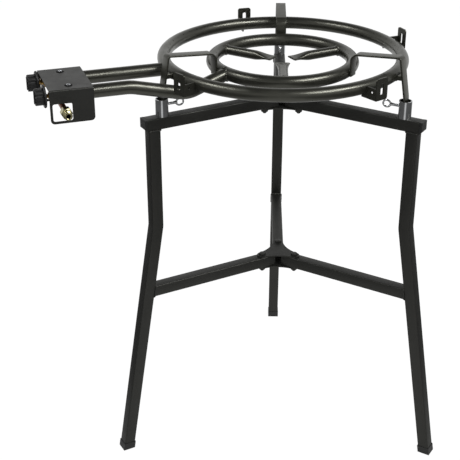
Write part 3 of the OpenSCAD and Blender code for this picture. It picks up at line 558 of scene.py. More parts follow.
def finish_for(name):
    """Finish by name, made once from the colours in the settings."""
    if not FINISHES:
        tint = bpy.context.scene.burner_finish
        recipes = {
            "stand_coat": (coated, tint.stand, 0.44, 900.0, 0.00018),
            "plate_coat": (coated, scaled(tint.stand, 1.1), 0.47, 900.0, 0.00018),
            "cover_coat": (coated, tint.cover, 0.42, 1400.0, 0.00022),
            "cap_plastic": (moulded, tint.stand, 0.46),
            "knob_plastic": (moulded, scaled(tint.plastic, 0.6), 0.45),
            # Near-black for painted shade: the dark cup in the inlet's bore and the rings around the cover screws
            "rubber": (moulded, scaled(tint.plastic, 0.4), 0.70, 0.08),
            "dark_fastener": (coated, scaled(tint.stand, 1.3), 0.40, 1500.0, 0.0001),
            "ring_coat": (enamelled, tint.enamel, 0.31),
            "bar_coat": (enamelled, scaled(tint.enamel, 1.15), 0.33),
            "bracket_coat": (enamelled, scaled(tint.enamel, 0.95), 0.34),
            "chrome": (polished, tint.chrome, 0.07, (1.0, 1.0, 0.08)),
            "zinc": (polished, tint.zinc, 0.16, (1.0, 1.0, 1.0)),
            "brass": (machined, tint.brass, 0.28, 0.55),
            "fitting": (machined, tint.fitting, 0.20, 0.62),
            "copper_pipe": (machined, tint.copper, 0.33, 0.45)}
        FINISHES.update({key: make(key, *values) for key, (make, *values) in recipes.items()})
    return FINISHES[name]


# In reflections, in metres: where the floor's bright middle ends and its dim sides start, and where its
# bright back starts and is full
FLOOR_MIDDLE = (0.25, 0.75)
FLOOR_BACK = (0.9, 2.0)
# How far a direction points to the back where the sky's bright back starts and is full
SKY_BACK = (0.5, 0.9)
# Colours of the sky by how far a direction points up
SKY_STOPS = ((0.36, (0.95, 0.95, 0.95, 1.0)), (0.80, (0.16, 0.16, 0.165, 1.0)))


class BURNER_OT_stage(bpy.types.Operator):
    """Makes the camera, the pale floor, the sky and the soft boxes."""

    bl_idname = "burner.stage"
    bl_label = "Stage"

    def execute(self, context):
        stage = context.scene.burner_stage
        lens = bpy.data.cameras.new("camera")
        lens.sensor_fit = "HORIZONTAL"
        lens.angle = stage.camera_view
        camera = bpy.data.objects.new("camera", lens)
        camera.location = stage.camera_at
        camera.rotation_euler = (stage.camera_tilt, 0.0, stage.camera_turn)
        context.scene.collection.objects.link(camera)
        context.scene.camera = camera
        context.scene.view_settings.view_transform = "Standard"
        self.floor(context, stage)
        self.sky(context, stage)
        self.soft_box(context, "left", stage.left_at, stage.left_size, stage.left_power)
        self.soft_box(context, "right", stage.right_at, stage.right_size, stage.right_power)
        return {"FINISHED"}

    def floor(self, context, stage):
        """Large floor: white with a soft shadow to the eye, and in gloss with a bright middle and back."""
        reach = stage.floor_reach
        mesh = bpy.data.meshes.new("floor")
        mesh.from_pydata([(-reach, -reach, 0), (reach, -reach, 0), (reach, reach, 0), (-reach, reach, 0)],
                         [], [(0, 1, 2, 3)])
        made = bpy.data.objects.new("floor", mesh)
        context.scene.collection.objects.link(made)
        n = nodes_for("floor")
        n.tree.nodes.remove(n.tree.nodes["Principled BSDF"])
        matt = n.add("BsdfDiffuse", {"Color": (*stage.floor, 1.0)})
        ray = n.add("LightPath").outputs
        at = n.add("SeparateXYZ", {0: n.at}).outputs
        middle = n.remap(n.maths("ABSOLUTE", at["X"]), *FLOOR_MIDDLE, stage.gloss_near, stage.gloss_far)
        back = n.remap(at["Y"], *FLOOR_BACK, 0.0, stage.gloss_back)
        gloss = n.maths("MAXIMUM", middle, back)
        white = n.add("Emission", {
            "Strength": n.remap(ray["Is Glossy Ray"], 0.0, 1.0, stage.white, gloss)})
        seen = n.maths("MAXIMUM", ray["Is Camera Ray"], ray["Is Transmission Ray"])
        weight = n.maths("MULTIPLY_ADD", seen, stage.white_share, ray["Is Glossy Ray"])
        mixed = n.add("MixShader", {0: weight, 1: matt.outputs[0], 2: white.outputs[0]})
        n.feed(n.tree.nodes["Material Output"], "Surface", mixed.outputs[0])
        mesh.materials.append(n.owner)

    def sky(self, context, stage):
        """World that is white at the horizon and dark overhead, so round metal gets a dark top."""
        n = Nodes(bpy.data.worlds.new("studio"), "Generated")
        way = n.add("SeparateXYZ", {0: n.at}).outputs
        ramp = n.add("ValToRGB", {"Fac": way["Z"]})
        for stop, (height, tint) in zip(ramp.color_ramp.elements, SKY_STOPS):
            stop.position = height
            stop.color = tint
        ray = n.add("LightPath").outputs
        gloss = n.remap(way["Y"], *SKY_BACK, stage.gloss_sky, stage.gloss_back)
        light = n.tree.nodes["Background"]
        n.feed(light, "Color", ramp.outputs["Color"])
        n.feed(light, "Strength", n.remap(ray["Is Glossy Ray"], 0.0, 1.0, 1.0, gloss))
        context.scene.world = n.owner

    def soft_box(self, context, name, at, size, watts):
        """Rectangular lamp that faces the stage's aim."""
        lamp = bpy.data.lights.new(name, "AREA")
        lamp.shape = "RECTANGLE"
        lamp.size, lamp.size_y = size
        lamp.energy = watts
        made = bpy.data.objects.new(name, lamp)
        made.location = at
        facing = Vector(context.scene.burner_stage.aim) - Vector(at)
        made.rotation_euler = facing.to_track_quat("-Z", "Y").to_euler()
        context.scene.collection.objects.link(made)


def resampled(path, spacing):
    """Points at an even spacing along a path, by straight interpolation over its length."""
    travel = np.concatenate([[0.0], np.cumsum(np.linalg.norm(np.diff(path, axis=0), axis=-1))])
    even = np.linspace(0.0, travel[-1], max(4, int(travel[-1] / spacing)))
    return np.stack([np.interp(even, travel, path[:, i]) for i in range(3)], -1)


# Weld bead: the pitch of its ripples in radii, its points per pitch, and its waves' heights in radii and
# lengths in pitches
BEAD_PITCH, BEAD_POINTS = 2.2, 6
BEAD_WAVES = ((0.15, 1.0), (0.08, 2.7))


def bead(path, reference, radius, loop=False):
    """Weld bead: a round section along a path, whose radius ripples in a sum of waves along its length."""
    pitch = BEAD_PITCH * radius
    path = resampled(path, pitch / BEAD_POINTS)
    travel = np.arange(len(path)) * pitch / BEAD_POINTS
    ripple = sum(tall * np.sin(2 * math.pi * travel / (long * pitch)) for tall, long in BEAD_WAVES)
    grid = carried(radius * (1 + ripple)[:, None, None] * circle(1.0, 8), path, reference)
    return looped(grid[:-1]) if loop else closed(grid)


# Hexagon's cut corners, in flats: the rows below its face, and the cone's radius at the face
HEX_DROPS, HEX_FACE = np.array([0.16, 0.11, 0.07, 0.03, 0.0]), 0.46


def hex_block(flats, low, high, origin, axis, start, both=False):
    """Hexagon whose corners are cut by a cone: radius = the smaller of the hexagon and the cone."""
    hexagon = flats / 2 / np.cos((around(48) + math.pi / 6) % (math.pi / 3) - math.pi / 6)
    drop = HEX_DROPS * flats
    height = np.concatenate([[low], high - drop])
    cone = np.concatenate([[flats], HEX_FACE * flats + drop * math.sqrt(3)])
    if both:
        height = np.concatenate([low + drop[::-1], height[1:]])
        cone = np.concatenate([cone[:0:-1], cone[1:]])
    return turned(np.minimum(hexagon, cone[:, None]), height, origin, axis, start)


def threaded(radius, low, high, thread, origin, axis, steps=28):
    """Threaded rod with a cone at each end: its radius falls in a wave that climbs one pitch per turn."""
    pitch, depth = thread
    height = np.linspace(low, high, int((high - low) / pitch * 8) + 2)[:, None]
    turn = np.linspace(0.0, 1.0, steps, endpoint=False)
    wave = 0.5 - 0.5 * np.cos(2 * math.pi * (height / pitch - turn))
    cone = np.minimum(height - low, high - height) + radius - 1.3 * depth
    return turned(np.minimum(radius - depth * wave, cone), height, origin, axis)


def along_feed(node):
    """Nearest and farthest point of a CAD node along the feed."""
    mesh = frame["nodes"][node].data
    points = np.empty(len(mesh.vertices) * 3)
    mesh.vertices.foreach_get("co", points)
    reach = points.reshape(-1, 3) @ FEED_OUT
    return reach.min(), reach.max()


def saddle(start, way, radius, ring_r, ring_z, tube_r, steps=72, samples=300):
    """Closed curve where a round pipe meets a ring's tube.

    Every line of the pipe's wall is followed along its way to the first point inside the ring's tube, or to
    the point nearest to it where the line passes by.
    """
    way = unit(np.asarray(way, float))
    first = unit(np.cross(way, UP))
    second = np.cross(first, way)
    ring = circle(radius, steps)
    wall = np.asarray(start, float) + ring[:, :1] * first + ring[:, 1:] * second
    reach = np.linspace(0.0, 4 * tube_r, samples)
    lines = wall[:, None] + reach[:, None] * way
    off = np.hypot(np.hypot(lines[..., 0], lines[..., 1]) - ring_r, lines[..., 2] - ring_z) - tube_r
    hit = np.where((off < 0).any(1), (off < 0).argmax(1), off.argmin(1))
    curve = lines[np.arange(steps), hit]
    return np.vstack([curve, curve[:1]])


def leg_lean(s):
    """Angle of a leg's lower run from the upright."""
    return math.atan2(s.foot_r - s.leg_r, s.bend_z)


def brace_end(s):
    """Distance from the axis to the leaning face of a leg, at the braces' height."""
    lean = leg_lean(s)
    return s.leg_r + (s.bend_z - s.brace_z) * math.tan(lean) - s.tube_side / 2 / math.cos(lean)


class BURNER_OT_stand_tubes(bpy.types.Operator):
    """Makes the arms, the bent legs and the braces of square tube with round corners."""

    bl_idname = "burner.stand_tubes"
    bl_label = "Stand tubes"

    def execute(self, context):
        s = context.scene.burner_stand
        outer = rounded_rect(s.tube_side, s.tube_side, s.tube_corner)
        bore = s.tube_side - 2 * s.tube_wall
        inner = rounded_rect(bore, bore, s.tube_corner - s.tube_wall)
        half = s.tube_side / 2
        lean = leg_lean(s)
        low = span("leg_rear", 2)[0] + half * math.sin(lean)
        leg = [(s.leg_r, s.arm_z - half), (s.leg_r, s.bend_z),
               (s.leg_r + (s.bend_z - low) * math.tan(lean), low)]
        for name, outward, sideways in planes(LEGS):
            paths = {
                f"arm_{name}": in_plane([(s.arm_start, s.arm_z), (s.arm_end, s.arm_z)], outward),
                f"brace_{name}": in_plane([(s.arm_start, s.brace_z), (brace_end(s), s.brace_z)], outward),
                f"leg_{name}": filleted(in_plane(leg, outward), [s.bend_r])}
            for node, path in paths.items():
                walls = [carried(outline, path, sideways) for outline in (outer, inner)]
                if node.startswith("brace"):
                    for wall in walls:
                        wall[-1] += (s.brace_z - wall[-1][:, 2:]) * math.tan(lean) * outward
                piece(f"{node}.tube", [hollow(*walls)], "stand", "stand_coat", [node])
        return {"FINISHED"}


class BURNER_OT_stand_welds(bpy.types.Operator):
    """Makes the weld beads where legs meet arms and where braces meet legs."""

    bl_idname = "burner.stand_welds"
    bl_label = "Stand welds"

    def execute(self, context):
        s = context.scene.burner_stand
        sink = s.weld_r / 3
        ring = rounded_rect(s.tube_side, s.tube_side, s.tube_corner)
        ring = np.vstack([ring, ring[:1]])
        for name, outward, sideways in planes(LEGS):
            top = s.leg_r * outward + (s.arm_z - s.tube_side / 2 - sink) * UP
            top = top + ring[:, :1] * outward + ring[:, 1:] * sideways
            rise = UP - math.tan(leg_lean(s)) * outward
            end = brace_end(s) * outward + s.brace_z * UP - sink * outward
            end = end + ring[:, :1] * rise + ring[:, 1:] * sideways
            shells = [bead(top, UP, s.weld_r, loop=True), bead(end, outward, s.weld_r, loop=True)]
            piece(f"stand_weld_{name}", shells, "stand", "stand_coat", sharp=60.0)
        return {"FINISHED"}


class BURNER_OT_caps(bpy.types.Operator):
    """Finishes the end blocks of the arms and the caps of the feet."""

    bl_idname = "burner.caps"
    bl_label = "Caps"

    def execute(self, context):
        for node in ("arm_end_caps", *(f"foot_cap_{name}" for name in LEGS)):
            soften(node, EDGES["cap"], "cap_plastic")
        return {"FINISHED"}


class BURNER_OT_hub(bpy.types.Operator):
    """Finishes the clamping plates and makes their bolts and nuts."""

    bl_idname = "burner.hub"
    bl_label = "Hub"

    def execute(self, context):
        s = context.scene.burner_stand
        for level in ("hub", "brace"):
            for side in ("upper", "lower"):
                soften(f"{level}_plate_{side}", EDGES["plate"], "plate_coat")
            low, high = span(f"{level}_bolts", 2)
            seat = span(f"{level}_plate_upper", 2)[1]
            nut_low, nut_high = span(f"{level}_nuts", 2)
            bolts = []
            nuts = []
            for _, outward, _ in planes(LEGS):
                at = s.bolt_r * outward
                bolts.append(closed(hex_block(s.bolt_flats, seat, high, at, UP, outward)))
                bolts.append(closed(threaded(s.bolt_d / 2, low, seat, THREADS["bolt"], at, UP)))
                nuts.append(closed(hex_block(s.bolt_flats, nut_low, nut_high, at, UP, outward, both=True)))
            piece(f"{level}_bolts.hex", bolts, "stand", "dark_fastener", [f"{level}_bolts"])
            piece(f"{level}_nuts.hex", nuts, "stand", "dark_fastener", [f"{level}_nuts"])
        return {"FINISHED"}


class BURNER_OT_sockets(bpy.types.Operator):
    """Finishes the plated sockets on the arms."""

    bl_idname = "burner.sockets"
    bl_label = "Sockets"

    def execute(self, context):
        for name in LEGS:
            soften(f"socket_{name}", EDGES["socket"], "chrome")
        return {"FINISHED"}


# Thumbscrew, in metres: its play at the bar, its length up to the eye, and the end of it without a thread
SCREW_PLAY, SCREW_SHANK, SCREW_BARE = 0.0003, 0.030, 0.007
# Profile of its neck: radius in screw radii, and place from the shank's end in metres plus rod radii
SCREW_NECK = np.array([
    (0.5, -0.0085, 0.0), (1.0, -0.008, 0.0), (1.0, -0.004, 0.0), (1.3, -0.001, 0.0), (1.25, 0.0, 0.6),
    (0.6, 0.0, 1.2)])


class BURNER_OT_thumbscrews(bpy.types.Operator):
    """Makes the eye screws: a threaded shank, a neck and an oval eye."""

    bl_idname = "burner.thumbscrews"
    bl_label = "Thumbscrews"

    def execute(self, context):
        r = context.scene.burner_ring
        radius = r.screw_d / 2
        rod = r.eye_rod / 2
        wide, shift, rods = SCREW_NECK.T
        neck = np.stack([wide * radius, SCREW_SHANK + shift + rods * rod], -1)
        turn = around(48)[:, None]
        long, tall = r.eye_r, r.eye_r - rod / 2
        section = circle(rod, 20)
        for name, outward, sideways in planes(LEGS):
            joint = JOINTS[f"thumbscrew_{name}_turn"]
            inward = np.array(joint["axis"])
            start = (r.socket_r - r.bar_t / 2 - SCREW_PLAY) * outward + joint["pos_m"][2] * UP
            middle = start + (SCREW_SHANK + r.eye_r) * inward
            line = middle + long * np.cos(turn) * inward + tall * np.sin(turn) * UP
            away = unit(tall * np.cos(turn) * inward + long * np.sin(turn) * UP)
            eye = line[:, None] + section[:, :1] * away[:, None] + section[:, 1:] * sideways
            shank = threaded(radius, 0.0, SCREW_SHANK - SCREW_BARE, THREADS["thumbscrew"], start, inward)
            shells = [closed(shank), closed(lathed(neck, start, inward, 28)), looped(eye)]
            piece(f"thumbscrew_{name}.eye", shells, f"thumbscrew_{name}", "chrome", [f"thumbscrew_{name}"])
        return {"FINISHED"}


# How far from a ring's line the search for a weld starts, in tube radii, for straight pipes and the bent one
SEARCH_FROM, SEARCH_FROM_BENT = 3.0, 3.2


class BURNER_OT_rings(bpy.types.Operator):
    """Finishes the two ring tubes and makes the welds of what joins them."""

    bl_idname = "burner.rings"
    bl_label = "Rings"

    def execute(self, context):
        r = context.scene.burner_ring
        tube = r.tube_d / 2
        for node in ("outer_ring", "inner_ring"):
            paint(node, "ring_coat")
        outer, inner = (r.outer_r, r.outer_z), (r.inner_r, r.inner_z)
        joints = [(FEED_Z * UP + (r.outer_r + SEARCH_FROM * tube) * FEED_OUT, -FEED_OUT, tube, *outer)]
        for _, outward, _ in planes(SPOKES):
            start = (r.inner_r - SEARCH_FROM * tube) * outward + r.inner_z * UP
            joints.append((start, outward, r.spoke_d / 2, *inner))
        path = inner_pipe_path(r)
        way = unit(path[-1] - path[-2])
        joints.append((path[-1] - SEARCH_FROM_BENT * tube * way, way, tube, *inner))
        shells = [bead(saddle(*joint, tube), joint[1], WELDS["ring"], loop=True) for joint in joints]
        piece("ring_welds", shells, "burner", "ring_coat", sharp=60.0)
        return {"FINISHED"}


# How far a spoke's outer end stays inside the ring's line, in metres
SPOKE_SHORT = 0.006
# Last rows of a spoke, which round and close its lip: reach from the tip and inset, in half lips
LIP_REACH = np.array([0.4, 0.1, 0.0, 0.0, 2.0])
LIP_INSET = np.array([0.08, 0.3, 0.6, 0.75, 0.8])


class BURNER_OT_spokes(bpy.types.Operator):
    """Makes the spoke tubes, which flatten into a wide lip near the middle.

    A section is a superellipse, whose half axes go from the tube's radius to the lip's width and thickness.
    """

    bl_idname = "burner.spokes"
    bl_label = "Spokes"

    def execute(self, context):
        r = context.scene.burner_ring
        half = r.spoke_d / 2
        lip = r.spoke_lip / 2
        reach = np.concatenate([[r.inner_r - SPOKE_SHORT], np.linspace(r.spoke_neck, r.spoke_tip + lip, 24),
                                r.spoke_tip + lip * LIP_REACH])
        along = np.clip((r.spoke_neck - reach) / (r.spoke_neck - r.spoke_tip - lip), 0.0, 1.0)
        wide = half + (math.pi / 2 - 1) * half * along ** 2
        thin = half + (lip - half) * along ** 2 * (3 - 2 * along)
        inset = lip * np.concatenate([np.zeros(len(reach) - len(LIP_INSET)), LIP_INSET])
        turn = around(48)
        bend = (2 / (2 + 1.5 * along))[:, None]
        up = np.sign(np.sin(turn)) * np.abs(np.sin(turn)) ** bend * (thin - inset)[:, None]
        out = np.sign(np.cos(turn)) * np.abs(np.cos(turn)) ** bend * (wide - inset)[:, None]
        height = (r.inner_z + up)[..., None] * UP
        for name, outward, sideways in planes(SPOKES):
            grid = reach[:, None, None] * outward + height + out[..., None] * sideways
            piece(f"spoke_{name}.tube", [closed(grid)], "burner", "ring_coat", [f"spoke_{name}"], sharp=40.0)
        return {"FINISHED"}


# Pan support's bar, in metres: its knee above its foot, its top corner outside the outer ring's line, the end
# of its slope outside the inner ring's line and below the top, its last corner below the top, its tail below
# the inner ring's line, its section's corners, how far it stays below the CAD, and the radii of its bends
BAR_KNEE, BAR_TOP_OUT, BAR_SLOPE_OUT, BAR_SLOPE_DROP = 0.042, 0.019, 0.0245, 0.009
BAR_LAST_DROP, BAR_TAIL, BAR_CORNER, BAR_INSIDE = 0.018, 0.006, 0.0009, 0.0002
BAR_BENDS = (0.030, 0.006, 0.010, 0.010)
# Lug from the outer ring to the bar: its height, its corners, how far it goes into the tube, its outer end
LUG_H, LUG_CORNER, LUG_SINK, LUG_END = 0.010, 0.0012, 0.001, 0.0262
# Weld beads of the bar and of the lug: their share of the bar's width, and how far they lie above and below
# the ring's line and in its tube
WELD_SHARE = 0.9
BAR_WELD_RISE, BAR_WELD_SINK = 0.0045, 0.0004
LUG_WELD_RISE, LUG_WELD_SINK = 0.0058, 0.0006


class BURNER_OT_pan_supports(bpy.types.Operator):
    """Makes the bent flat bars that carry the pan, their lugs and their welds."""

    bl_idname = "burner.pan_supports"
    bl_label = "Pan supports"

    def execute(self, context):
        r = context.scene.burner_ring
        base, top = span("pan_support_rear", 2)
        tube = r.tube_d / 2
        inner = r.inner_r + tube + r.bar_t / 2
        crown = top - r.bar_t / 2 - BAR_INSIDE
        corners = [
            (r.socket_r, base), (r.socket_r, base + BAR_KNEE), (r.outer_r + BAR_TOP_OUT, crown),
            (r.inner_r + BAR_SLOPE_OUT, crown - BAR_SLOPE_DROP), (inner, crown - BAR_LAST_DROP),
            (inner, r.inner_z - BAR_TAIL)]
        section = rounded_rect(r.bar_t, r.bar_w, BAR_CORNER)
        lug = rounded_rect(LUG_H, r.bar_w, LUG_CORNER)
        lug_ends = [(r.outer_r + tube - LUG_SINK, r.outer_z), (r.outer_r + LUG_END, r.outer_z)]
        for name, outward, sideways in planes(LEGS):
            path = filleted(in_plane(corners, outward), BAR_BENDS, 9)
            seam = np.linspace(-0.5, 0.5, 12)[:, None] * WELD_SHARE * r.bar_w * sideways
            shells = [closed(carried(section, path, sideways)),
                      closed(carried(lug, in_plane(lug_ends, outward), sideways))]
            for ring_r, ring_z, sink, rise, size in (
                    (r.inner_r, r.inner_z, BAR_WELD_SINK, BAR_WELD_RISE, WELDS["bar"]),
                    (r.outer_r, r.outer_z, LUG_WELD_SINK, LUG_WELD_RISE, WELDS["lug"])):
                middle = seam + (ring_r + tube - sink) * outward
                shells += [bead(middle + (ring_z + up) * UP, UP, size) for up in (rise, -rise)]
            made = piece(f"pan_support_{name}.bar", shells, "burner", "bar_coat", [f"pan_support_{name}"],
                         sharp=50.0)
            bevelled(made, EDGES["bar"])
        return {"FINISHED"}


class BURNER_OT_tabs(bpy.types.Operator):
    """Finishes the slotted tabs."""

    bl_idname = "burner.tabs"
    bl_label = "Tabs"

    def execute(self, context):
        for name in TABS:
            soften(f"bracket_{name}", EDGES["tab"], "bracket_coat")
        return {"FINISHED"}


def inner_pipe_path(r):
    """Corner points of the inner ring's feed pipe, from its mouth to the ring's centre line."""
    return in_feed([
        (r.mouth_x, FEED_PITCH, FEED_Z), (r.dip_start, FEED_PITCH, FEED_Z), (r.dip_end, FEED_PITCH, r.dip_z),
        (r.inner_r * math.cos(r.joint_turn), r.inner_r * math.sin(r.joint_turn), r.inner_z)])


# Radii of the inner feed pipe's two bends, in metres, and its end inside the ring's tube, in tube diameters
PIPE_BENDS = (0.090, 0.070)
PIPE_SHORT = 0.3


class BURNER_OT_feed_pipes(bpy.types.Operator):
    """Finishes the straight feed pipe and makes the bent one."""

    bl_idname = "burner.feed_pipes"
    bl_label = "Feed pipes"

    def execute(self, context):
        r = context.scene.burner_ring
        paint("outer_feed_pipe", "ring_coat")
        path = inner_pipe_path(r)
        path[-1] += unit(path[-2] - path[-1]) * r.tube_d * PIPE_SHORT
        path = filleted(path, PIPE_BENDS, 16)
        tube = r.tube_d / 2
        walls = [carried(circle(radius, 48), path, UP) for radius in (tube, tube - r.tube_wall)]
        piece("inner_feed_pipe.bent", [hollow(*walls)], "burner", "ring_coat", ["inner_feed_pipe"])
        return {"FINISHED"}


class BURNER_OT_taps(bpy.types.Operator):
    """Finishes the taps, jets, spindles, washers and the strips that hold them."""

    bl_idname = "burner.taps"
    bl_label = "Taps"

    def execute(self, context):
        for side in TAPS:
            soften(f"{side}_jet_bracket", EDGES["tap"], "bracket_coat")
            for node in ("tap_body", "jet"):
                soften(f"{side}_{node}", EDGES["tap"], "brass")
            paint(f"{side}_spindle", "brass")
            paint(f"{side}_thrust_washer", "zinc")
        return {"FINISHED"}


# Rows of a knob's grip as share of its radius and knob edges above the skirt's top, or above the face
GRIP_ROOT = np.array([(0.5, -1.0), (1.0, -1.0)])
GRIP_FACE = np.array([(1.0, -1.5), (0.985, -0.5), (0.955, 0.0), (0.74, 0.0), (0.72, -1.0), (0.3, -1.0)])
# Share of the grip's radius where the scallops have faded, and over how much more they come in
FADE_START, FADE_SPAN = 0.70, 0.2
# Length of the pointer rib in grips, and its corners in widths
RIB_LENGTH, RIB_CORNER = 0.8, 0.45


class BURNER_OT_knobs(bpy.types.Operator):
    """Makes the knobs: a wide skirt, a scalloped grip and a pointer rib.

    The grip's rim is the smaller of its own circle and of the scallops' circles. Its rows flow back to a
    plain circle toward the middle.
    """

    bl_idname = "burner.knobs"
    bl_label = "Knobs"

    def execute(self, context):
        t = context.scene.burner_tap
        grip, skirt, edge = t.grip_d / 2, t.skirt_d / 2, t.knob_edge
        off = around(160) % (2 * math.pi / t.lobes) - math.pi / t.lobes
        away = grip + t.scoop_r - t.scoop_depth
        inside = t.scoop_r ** 2 - (away * np.sin(off)) ** 2
        scoop = away * np.cos(off) - np.sqrt(np.maximum(inside, 0.0))
        rim = np.where(inside > 0, np.minimum(scoop, grip), grip)
        back = [(0.3 * skirt, 0.0), (skirt - edge, 0.0), (skirt, edge), (skirt, t.skirt_t - edge),
                (skirt - edge, t.skirt_t), (0.9 * grip, t.skirt_t)]
        for side in TAPS:
            near, far = along_feed(f"{side}_knob")
            front = far - near - t.rib_h
            at = near * FEED_OUT + TAP_Y[side] * FEED_SIDE + FEED_Z * UP
            rows = np.vstack([
                GRIP_ROOT * [1.0, edge] + [0.0, t.skirt_t], GRIP_FACE * [1.0, edge] + [0.0, front]])
            flow = np.clip((rows[:, :1] - FADE_START) / FADE_SPAN, 0.0, 1.0)
            body = turned(rows[:, :1] * (flow * rim + (1 - flow) * grip), rows[:, 1:], at, FEED_OUT, UP)
            run = at + np.array([[front - 2 * edge], [front + t.rib_h]]) * FEED_OUT
            rib = carried(rounded_rect(t.rib_w, RIB_LENGTH * t.grip_d, RIB_CORNER * t.rib_w), run, UP)
            shells = [closed(lathed(back, at, FEED_OUT, 64)), closed(body), closed(rib)]
            made = piece(f"{side}_knob.grip", shells, f"{side}_tap_turn", "knob_plastic", [f"{side}_knob"],
                         sharp=45.0)
            bevelled(made, edge / 2)
        return {"FINISHED"}


# Inlet pipe, in metres: the radius of its bend, its start below the feed's height, and its end in the nut
INLET_BEND, INLET_DROP, INLET_IN_NUT = 0.017, 0.003, 0.002
# Inlet fitting, in metres: its hexagon's flats, its bore's radius, and its runs along its axis from its end
FITTING_FLATS, FITTING_BORE = 0.020, 0.0042
FITTING_HEX = np.array([-0.032, -0.016])
FITTING_SCREW = np.array([-0.0125, -0.0012])
# Profiles about that axis as radius and place: the collar, the rim's outside with its radius from the
# thread's, the rim's inside, and a dark cup in the bore, which is painted shade deep in the bore
COLLAR = np.array([
    (0.0075, -0.0170), (0.0090, -0.0168), (0.0090, -0.0124), (0.0086, -0.0120), (0.0070, -0.0118)])
RIM_OUTSIDE = np.array([(-0.0014, -0.0030), (-0.0013, -0.0006), (-0.0018, 0.0)])
RIM_INSIDE = np.array([(0.0050, 0.0), (0.0043, -0.0006), (0.0042, -0.0028)])
BORE_SHADE = np.array([
    (0.0041, -0.0008), (0.0041, -0.0110), (0.0002, -0.0110), (0.0002, -0.0116), (0.0044, -0.0116),
    (0.0044, -0.0008)])


class BURNER_OT_gas_line(bpy.types.Operator):
    """Finishes the manifold and makes the bent inlet pipe and its threaded fitting."""

    bl_idname = "burner.gas_line"
    bl_label = "Gas line"

    def execute(self, context):
        r = context.scene.burner_ring
        soften("manifold", EDGES["manifold"], "brass")
        mount = next(m for m in frame["record"]["mounts"] if m["name"] == "gas_inlet")
        thread = np.array(mount["pos_m"])
        line = thread @ FEED_OUT
        level = thread[2]
        at = line * FEED_OUT + level * UP
        end = thread @ FEED_SIDE + mount["dims"]["length_mm"] / 2000
        radius = mount["dims"]["r_mm"] / 1000
        hex_low, hex_high = end + FITTING_HEX
        screw_low, screw_high = end + FITTING_SCREW
        middle = FEED_PITCH / 2
        path = filleted(in_feed([
            (sum(along_feed("manifold")) / 2, middle, FEED_Z - INLET_DROP), (line, middle, level),
            (line, hex_low + INLET_IN_NUT, level)]), [INLET_BEND], 14)
        side = unit(np.cross(path[1] - path[0], path[-1] - path[-2]))
        pipe = carried(circle(r.inlet_d / 2, 28), path, side)
        piece("inlet_pipe.bent", [closed(pipe)], "burner", "copper_pipe", ["inlet_pipe"])
        nut = hex_block(FITTING_FLATS, hex_low, hex_high, at, FEED_SIDE, UP, both=True)
        collar, mouth, bore_shade = (
            lathed(profile + [0.0, end], at, FEED_SIDE)
            for profile in (COLLAR, np.vstack([RIM_OUTSIDE + [radius, 0.0], RIM_INSIDE]), BORE_SHADE))
        screw = threaded(radius, screw_low, screw_high, THREADS["fitting"], at, FEED_SIDE, 40)
        bore = lathed([(FITTING_BORE, screw_low), (FITTING_BORE, screw_high)], at, FEED_SIDE, 40)
        shells = [closed(nut), closed(collar), hollow(screw, bore), looped(mouth)]
        piece("inlet_fitting.hex", shells, "burner", "brass", ["inlet_fitting"], finish="fitting")
        # Near-black cup inside the fitting's bore: painted shade deep in the bore
        piece("inlet_bore", [looped(bore_shade)], "burner", "knob_plastic", finish="rubber")
        return {"FINISHED"}


# Cover screw, in metres: radii of its head and its shank, the height of its head's rim, and the cross in its
# head as half the width of an arm, the arm's reach and its depth
HEAD_R, SHANK_R, HEAD_RIM = 0.0042, 0.0025, 0.0006
CROSS_W, CROSS_R, CROSS_DEPTH = 0.0007, 0.0024, 0.0013
# Rows of the head's dome as shares of its radius, and how much of a half ball's arc they take
HEAD_ROWS = np.array([0.80, 1.0, 0.99, 0.95, 0.88, 0.78, 0.66, 0.56, 0.50, 0.42, 0.32, 0.22, 0.12])
HEAD_ARC = 0.86
# Profile of the dark ring under each screw, painted shade of the dimple around the screw: radius and height
SCREW_SHADE_RING = np.array([
    (0.0043, 0.0), (0.0043, 0.0004), (0.0047, 0.0008), (0.0070, 0.0008), (0.0076, 0.0004), (0.0078, 0.0)])


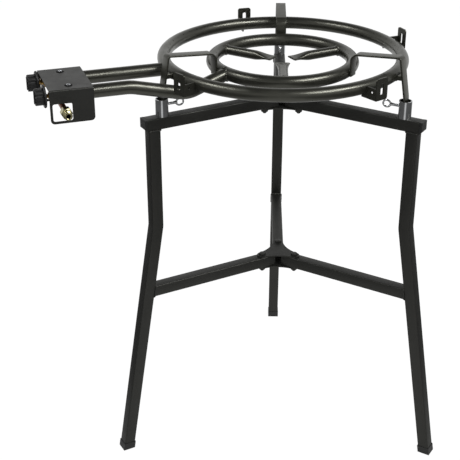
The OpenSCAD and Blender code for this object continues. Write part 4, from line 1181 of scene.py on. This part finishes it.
class BURNER_OT_cover(bpy.types.Operator):
    """Finishes the folded cover and makes its screws and dark rings under them, which are painted shade of the
    dimples around the screws.
    """

    bl_idname = "burner.cover"
    bl_label = "Tap cover"

    def execute(self, context):
        soften("tap_cover", EDGES["cover"], "cover_coat")
        base, crown = span("cover_screws", 2)
        seat = span("tap_cover", 2)[1]
        along = sum(along_feed("cover_screws")) / 2
        turn = around(64)
        dome = seat + (crown - seat) * np.sqrt(np.maximum(0.0, 1 - (HEAD_ARC * HEAD_ROWS) ** 2))
        dome[:2] = seat, seat + HEAD_RIM
        radius = np.repeat(HEAD_R * HEAD_ROWS[:, None], len(turn), 1)
        nearest = np.minimum(np.abs(radius * np.cos(turn)), np.abs(radius * np.sin(turn)))
        height = dome[:, None] - CROSS_DEPTH * ((nearest < CROSS_W) & (radius < CROSS_R))
        screws = []
        washers = []
        for offset in TAP_Y.values():
            at = along * FEED_OUT + offset * FEED_SIDE
            screws.append(closed(turned(radius, height, at, UP)))
            screws.append(closed(threaded(SHANK_R, base, seat, THREADS["cover_screw"], at, UP, 20)))
            # Dark ring on the cover around each screw: painted shade of the screw's dimple
            washers.append(looped(lathed(SCREW_SHADE_RING + [0.0, seat], at, UP)))
        piece("cover_screws.dome", screws, "burner", "zinc", ["cover_screws"], sharp=40.0)
        piece("cover_screw_shade", washers, "burner", "knob_plastic", finish="rubber")
        return {"FINISHED"}


class BURNER_PT_panel(bpy.types.Panel):
    """Lists the settings and the operators."""

    bl_idname = "BURNER_PT_panel"
    bl_label = "Paella burner"
    bl_space_type = "VIEW_3D"
    bl_region_type = "UI"
    bl_category = "Burner"

    def draw(self, context):
        for name, cls in SETTINGS.items():
            box = self.layout.box()
            box.label(text=cls.__doc__)
            for key in cls.__annotations__:
                box.prop(getattr(context.scene, name), key)
        for cls in OPERATORS:
            self.layout.operator(cls.bl_idname)


SETTINGS = {
    "burner_stand": BurnerStandSettings,
    "burner_ring": BurnerRingSettings,
    "burner_tap": BurnerTapSettings,
    "burner_finish": BurnerFinishSettings,
    "burner_stage": BurnerStageSettings}
OPERATORS = (
    BURNER_OT_stage,
    BURNER_OT_stand_tubes,
    BURNER_OT_stand_welds,
    BURNER_OT_caps,
    BURNER_OT_hub,
    BURNER_OT_sockets,
    BURNER_OT_thumbscrews,
    BURNER_OT_rings,
    BURNER_OT_spokes,
    BURNER_OT_pan_supports,
    BURNER_OT_tabs,
    BURNER_OT_feed_pipes,
    BURNER_OT_taps,
    BURNER_OT_knobs,
    BURNER_OT_gas_line,
    BURNER_OT_cover)
CLASSES = (*SETTINGS.values(), *OPERATORS, BURNER_PT_panel)


def register():
    """Registers the classes and hangs the settings on the scene."""
    for cls in CLASSES:
        bpy.utils.register_class(cls)
    for name, cls in SETTINGS.items():
        setattr(bpy.types.Scene, name, bpy.props.PointerProperty(type=cls))


def unregister():
    """Takes the settings and the classes away again."""
    for name in SETTINGS:
        delattr(bpy.types.Scene, name)
    for cls in reversed(CLASSES):
        bpy.utils.unregister_class(cls)


def main():
    """Registers the add-on and runs its operators in order."""
    register()
    for cls in OPERATORS:
        group, name = cls.bl_idname.split(".")
        getattr(getattr(bpy.ops, group), name)()


if __name__ == "__main__":
    main()
